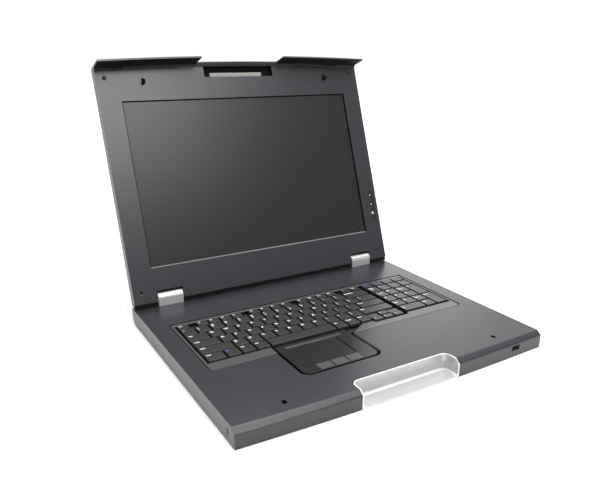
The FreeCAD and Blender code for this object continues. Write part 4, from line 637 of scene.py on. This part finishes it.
# Touch pad: a dark dished housing with a softly rounded rim, painted lighter grey in front and on the right
# as a painted highlight, a fine-textured touch film and three satin buttons with rounded edges.
pad_dark = finish("pad_dark", (0.011, 0.011, 0.0105), 0.26, grain=2600, bump=0.06)
pad_housing = dress(rounded(merged_copy("touchpad_housing", "pad_housing"), 0.0005, 3), pad_dark,
                    "dark_plastic", "tray", "touchpad_housing")
pad_low, pad_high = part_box("touchpad_housing")
pad_centre = (pad_low + pad_high) / 2
pad_rim = 0.0006
rim_highlight_paint = finish("rim_highlight_paint", (0.16, 0.16, 0.15), 0.3)


def highlit_rim(middle, normal):
    """The rounded outer rim of the housing, in front and on the right, which gets a painted highlight."""
    on_rim = middle.z > pad_high.z - pad_rim and 0.25 < normal.z < 0.95
    looks_out = normal.dot(middle - pad_centre) > 0.01
    return on_rim and looks_out and (middle.x > pad_centre.x or middle.y < pad_centre.y)


# Painted highlight: a lighter grey along the rim in front and on the right.
accent(pad_housing, rim_highlight_paint, highlit_rim)
touch_film = finish("touch_film", (0.009, 0.0087, 0.0077), 0.34, grain=5000, bump=0.15, gloss=0.4)
dress(rounded(merged_copy("touch_surface", "touch_sheet"), 0.0002), touch_film, "pad_film", "tray",
      "touch_surface")
button_grey = finish("button_grey", (0.080, 0.078, 0.076), 0.32)
for side in ("left", "middle", "right"):
    button = merged_copy("pad_button_" + side, "touch_button_%s_cap" % side)
    dress(rounded(button, 0.0005, 3), button_grey, "button_plastic", "touch_button_" + side,
          "pad_button_" + side)

# Front data port: a nickel-plated shell behind a hole in the front face, with a white tongue that carries
# four contacts on its underside. The shell's inside is painted black as painted shade.
port_low, port_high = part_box("front_data_port")
port_wall, port_tall = 0.0005, 0.0058
tongue_side, tongue_drop, tongue_thick, tongue_back = 0.0013, 0.0010, 0.0020, 0.0008
contact_side, contact_step, contact_thick, contact_back = 0.0010, 0.0023, 0.00015, 0.0016


def port_shell():
    """The thin shell, open to the front."""
    low = Vector((port_low.x, port_low.y, port_high.z - port_tall))
    shell = new_block("port_shell", low, port_high)
    select_faces(shell, lambda middle, normal: normal.y < -0.9)
    bpy.ops.mesh.inset(thickness=port_wall)
    bpy.ops.mesh.extrude_region_move(
        TRANSFORM_OT_translate={"value": (0, port_high.y - port_low.y - 2 * port_wall, 0)})
    done()
    return rounded(shell, 0.00015)


def in_front_of(place):
    """A test for edges that lie wholly in front of a place."""
    return lambda edge: all(vertex.co.y < place for vertex in edge.verts)


def port_tongue():
    """The tongue, with its front edge rounded."""
    top = port_high.z - tongue_drop
    low = (port_low.x + tongue_side, port_low.y + tongue_back, top - tongue_thick)
    tongue = new_block("port_tongue", low, (port_high.x - tongue_side, port_high.y - port_wall, top))
    select_edges(tongue, in_front_of(port_low.y + tongue_back + 0.0002))
    bpy.ops.mesh.bevel(offset=0.0004, segments=2)
    done()
    return tongue


nickel = finish("nickel", (0.6, 0.6, 0.61), 0.28, metal=1.0)
socket_black_and_shade = finish("socket_black_and_shade", (0.012, 0.012, 0.012), 0.5)


def shaded_port_inside(middle, normal):
    """Whether a face lies on the shell's inner side, which is painted black as painted shade."""
    skin = 0.0003
    return (port_low.x + skin < middle.x < port_high.x - skin and port_low.y + skin < middle.y
            and port_high.z - port_tall + skin < middle.z < port_high.z - skin)


shell = dress(port_shell(), nickel, "socket_metal", "tray", "front_data_port")
# Painted shade: the inside of the nickel shell is black.
accent(shell, socket_black_and_shade, shaded_port_inside)
tongue_white = finish("tongue_white", (0.85, 0.85, 0.83), 0.4)
dress(port_tongue(), tongue_white, "socket_plastic", "tray")
contact_gold = finish("contact_gold", (0.80, 0.62, 0.30), 0.25, metal=1.0)
contacts = []
tongue_under = port_high.z - tongue_drop - tongue_thick
for number in range(4):
    along = (port_low.x + port_high.x) / 2 + (number - 1.5) * contact_step
    low = (along - contact_side / 2, port_low.y + contact_back, tongue_under - contact_thick)
    high = (along + contact_side / 2, port_high.y - port_wall, tongue_under + contact_thick)
    contact = new_block("contact_%d" % number, low, high)
    select_edges(contact, in_front_of(port_low.y + contact_back + 0.0002))
    bpy.ops.mesh.bevel(offset=contact_thick / 2, segments=2)
    done()
    contacts.append(contact)
dress(fused(contacts, "port_contacts"), contact_gold, "socket_metal", "tray")

# Rear sockets, boards, leads and screws: a nickel video socket, two black moulded ones, boards of green
# laminate, flat leads of pale film and zinc-plated screws. Most of them are out of sight.
wear(nickel, "video_socket")
wear(socket_black_and_shade, "data_socket", "power_inlet")
board_green = finish("board_green", (0.02, 0.12, 0.06), 0.35)
wear(board_green, "main_board", "power_board", "touchpad_board", "screen_driver_board", "backlight_inverter",
     "control_board")
lead_film = finish("lead_film", (0.6, 0.58, 0.52), 0.5)
wear(lead_film, "keyboard_lead", "screen_lead")
wear(zinc, "cover_screws", "bezel_screws")

# Hinges: silver hoods that stand on the cover over the barrels. The bracket, pin and leaf on each side
# are zinc-plated steel, and so is the rail that carries the screen panel's edge.
for side in ("left", "right"):
    hood = merged_copy("hinge_hood_" + side, "hood_" + side)
    dress(rounded(hood, 0.0012, 4), silver, "silver_plastic", "tray", "hinge_hood_" + side)
    wear(zinc, "hinge_bracket_" + side, "hinge_pin_" + side, "hinge_leaf_" + side, "panel_rail_" + side)

# Lid shell: folded steel sheet in the same grey as the floor pan, with the bowed flange that closes
# over the tray's front edge.
dress(rounded(merged_copy("lid_shell", "back_shell"), 0.0004), grey_paint, "light_grey_paint", "lid",
      "lid_shell")

# Bezel: charcoal front of the lid, one moulding with the lining of the flange. It is painted black as
# painted shade under its foot, in its notches, recess and window, and fades to black up the flange, where
# shade falls; the recess floor gets a darker painted shade and the window's lower slope a lighter painted
# highlight.
plug_sunk, hair = 0.00035, 0.0001
recess_margin, recess_reach = 0.002, (0.05, 0.125)
notch_room, foot_low, foot_back = 0.004, 0.0027, 0.0004
slope_tall, above_window, flange_tall = 0.02, 0.02, 0.02
fade_reach, darkest_share = 0.0035, 0.08
matt_rough, matt_gloss = 0.9, 0.2

# The lid's own frame lies on the hinge axis, with y up the open lid and z out of its front.
hinge = next(joint for joint in frame["joints"] if joint["name"] == "lid_hinge")
lean = math.pi - math.radians(hinge["range_deg"][1])
lid_frame = Matrix.Translation(hinge["pos_m"]) @ Matrix.Rotation(lean, 4, "X")
from_lid = lid_frame.inverted()
lid_face = max(box[1].z for box in solids_of("screw_plugs", from_lid)) + plug_sunk
black_plastic_and_shade = finish("black_plastic_and_shade", (0.005, 0.005, 0.0055), 0.7, bump=0.05, gloss=0.1)
bezel = dress(rounded(merged_copy("lid_bezel", "front_bezel"), 0.0004), charcoal_paint, "charcoal_paint",
              "lid", "lid_bezel")
button_box = solids_of("power_button", from_lid)[0]
recess_side = (button_box[0].x - recess_margin, button_box[1].x + recess_margin)
notch_top = solids_of("hinge_hood_left", from_lid)[0][1].y + notch_room
shown_low, shown_high = solids_of("screen_glass", from_lid)[0]


def on_lid(middle, normal):
    """A face's place and direction seen from the lid: across, up the lid and out of its front."""
    return from_lid @ middle, from_lid.to_3x3() @ normal


def in_recess(place):
    """Whether a place is sunk in the recess that holds the controls."""
    return (recess_side[0] < place.x < recess_side[1] and recess_reach[0] < place.y < recess_reach[1]
            and place.z < lid_face - hair)


def painted_shade_faces(middle, normal):
    """Whether a face gets black painted shade, by its place up the lid and by how far it faces outwards."""
    place, outwards = on_lid(middle, normal)
    under_foot = place.y < -foot_low and place.z < lid_face - foot_back
    in_notch = place.y < notch_top and outwards.z < 0.5
    in_window = (shown_low.x < place.x < shown_high.x and shown_low.y < place.y < shown_high.y
                 and outwards.z < 0.8 and outwards.y < 0.5)
    return under_foot or in_notch or in_window or in_recess(place)


def recess_floor(middle, normal):
    """Whether a face is the floor of the controls' recess, which gets a darker painted shade."""
    place, outwards = on_lid(middle, normal)
    return in_recess(place) and outwards.z > 0.95


def lining(middle, normal):
    """Whether a face is the cove under the flange, or the flange's underside above it, where painted shade
    goes.
    """
    place, outwards = on_lid(middle, normal)
    off_face = outwards.z < 0.97 or lid_face + 3 * hair < place.z < lid_face + flange_tall
    return off_face and place.y > shown_high.y + above_window and place.z > lid_face - hair


def fading(material, name, reach, gloss):
    """A copy of a material that goes black and matt with height above the lid's face, as painted shade."""
    faded = material.copy()
    faded.name = name
    tree, link = faded.node_tree.nodes, faded.node_tree.links.new
    shader = tree["Principled BSDF"]
    shader.inputs["Specular IOR Level"].default_value = gloss
    height = tree.new("ShaderNodeVectorMath")
    height.operation = "DOT_PRODUCT"
    outwards = lid_frame.to_3x3() @ Vector((0, 0, 1))
    height.inputs[1].default_value = outwards
    link(tree.new("ShaderNodeTexCoord").outputs["Object"], height.inputs[0])
    face_height = outwards.dot(lid_frame @ Vector((0, 0, lid_face)))
    ends = (face_height, face_height + reach)
    left = ramp(faded.node_tree, height.outputs["Value"], ends, (1.0, darkest_share))
    dimmed = tree.new("ShaderNodeVectorMath")
    dimmed.operation = "SCALE"
    link(shader.inputs["Base Color"].links[0].from_socket, dimmed.inputs[0])
    link(left, dimmed.inputs["Scale"])
    link(dimmed.outputs["Vector"], shader.inputs["Base Color"])
    own_rough = shader.inputs["Roughness"].links[0].from_socket
    link(ramp(faded.node_tree, left, (0, 1), (matt_rough, own_rough)), shader.inputs["Roughness"])
    return faded


def lower_slope(middle, normal):
    """Whether a face is the slope along the window's lower edge, which gets a lighter painted highlight."""
    place, outwards = on_lid(middle, normal)
    return (shown_low.x < place.x < shown_high.x and shown_low.y < place.y < shown_low.y + slope_tall
            and outwards.y > 0.5 and place.z > shown_high.z - 5 * hair)


# Painted shade: black under the foot, in the notches, in the recess and on the window's walls.
accent(bezel, black_plastic_and_shade, painted_shade_faces)
# Painted shade: the recess floor is darker than the bezel's face.
recess_shade_paint = finish("recess_shade_paint", (0.017, 0.018, 0.021), 0.4)
accent(bezel, recess_shade_paint, recess_floor)
# Painted highlight: a lighter grey on the window's lower slope.
slope_highlight_paint = finish("slope_highlight_paint", (0.22, 0.22, 0.23), 0.35)
accent(bezel, slope_highlight_paint, lower_slope)
# Painted shade: the flange's cove and underside fade to black and matt away from the lid's face.
accent(bezel, fading(charcoal_paint, "flange_shade_paint", fade_reach, matt_gloss), lining)

# Screen: switched off, so its matt front sheet and the panel behind it are one dark surface with the
# faintest olive cast. Both sit behind the bezel's window.
screen_dark = finish("screen_dark", (0.014, 0.0145, 0.0122), 0.30, grain=4000, bump=0.10, mottling=0.05)
wear(screen_dark, "screen_panel", "screen_glass")

# Controls: two dark buttons and a bright one in the bezel's recess, each with a dimple in its top, and
# a small lamp below them. The dimples of the dark ones are filled with white ink.


def dimpled(node, name, border, depth):
    """A copy of round pieces on the lid whose outer ends are dished inside a border."""
    piece = merged_copy(node, name, from_lid)
    top = max(vertex.co.z for vertex in piece.data.vertices)
    select_faces(piece, lambda middle, normal: normal.z > 0.9 and middle.z > top - 0.00002)
    bpy.ops.mesh.inset(thickness=border, depth=-depth, use_individual=True)
    done()
    rounded(piece, 0.0002, keen=50)
    piece.data.transform(lid_frame)
    return piece


def tops_of(piece):
    """How far out of the lid a piece stands."""
    return max((from_lid @ vertex.co).z for vertex in piece.data.vertices)


def fill_dimples(piece, material):
    """The flat floor of each dimple, just below the tops, gets one more material."""
    tops = tops_of(piece)

    def on_floor(middle, normal):
        place, outwards = on_lid(middle, normal)
        return tops - 4 * hair < place.z < tops - hair and outwards.z > 0.999

    accent(piece, material, on_floor)


bright_metal = finish("bright_metal", (0.82, 0.82, 0.83), 0.25, metal=0.4)
button = dimpled("power_button", "power_control", border=0.0007, depth=0.0003)
dress(button, bright_metal, "bright_button", "power_key", "power_button")
for name in ("select", "menu"):
    button = dimpled(name + "_button", name + "_control", border=0.0012, depth=0.0002)
    dress(button, black_plastic_and_shade, "button_plastic", name + "_key", name + "_button")
    fill_dimples(button, white_ink)
lamp_tint = finish("lamp_tint", (0.01, 0.03, 0.015), 0.2)
wear(lamp_tint, "power_lamp")

# Screw plugs: charcoal discs that close the bezel's four screw holes, just below its face. Each has a dimple
# in its middle, painted black as painted shade.
plugs = dimpled("screw_plugs", "bezel_plugs", border=0.0013, depth=0.0006)
dress(plugs, charcoal_paint, "button_plastic", "lid", "screw_plugs")
plug_tops = tops_of(plugs)
# Painted shade: the dimple below the plug's top is black.
accent(plugs, black_plastic_and_shade, lambda middle, normal: (from_lid @ middle).z < plug_tops - 3 * hair)

# Latch: a finger pocket of dark plastic let into the lid's free edge, painted black all over as painted
# shade in its hollow, and a sliding zinc-plated bar behind the bezel that carries two black hooks and a pale
# grip.
dress(rounded(merged_copy("finger_pocket", "pocket"), 0.0003), black_plastic_and_shade, "dark_plastic", "lid",
      "finger_pocket")
dress(rounded(merged_copy("latch_hooks", "hooks"), 0.0002), black_plastic_and_shade, "dark_plastic", "latch",
      "latch_hooks")
wear(zinc, "latch_bar")
grip_pale = finish("grip_pale", (0.42, 0.43, 0.40), 0.4, grain=1800, bump=0.15)
dress(rounded(merged_copy("release_grip", "grip_strip"), 0.0003), grip_pale, "silver_plastic", "latch",
      "release_grip")
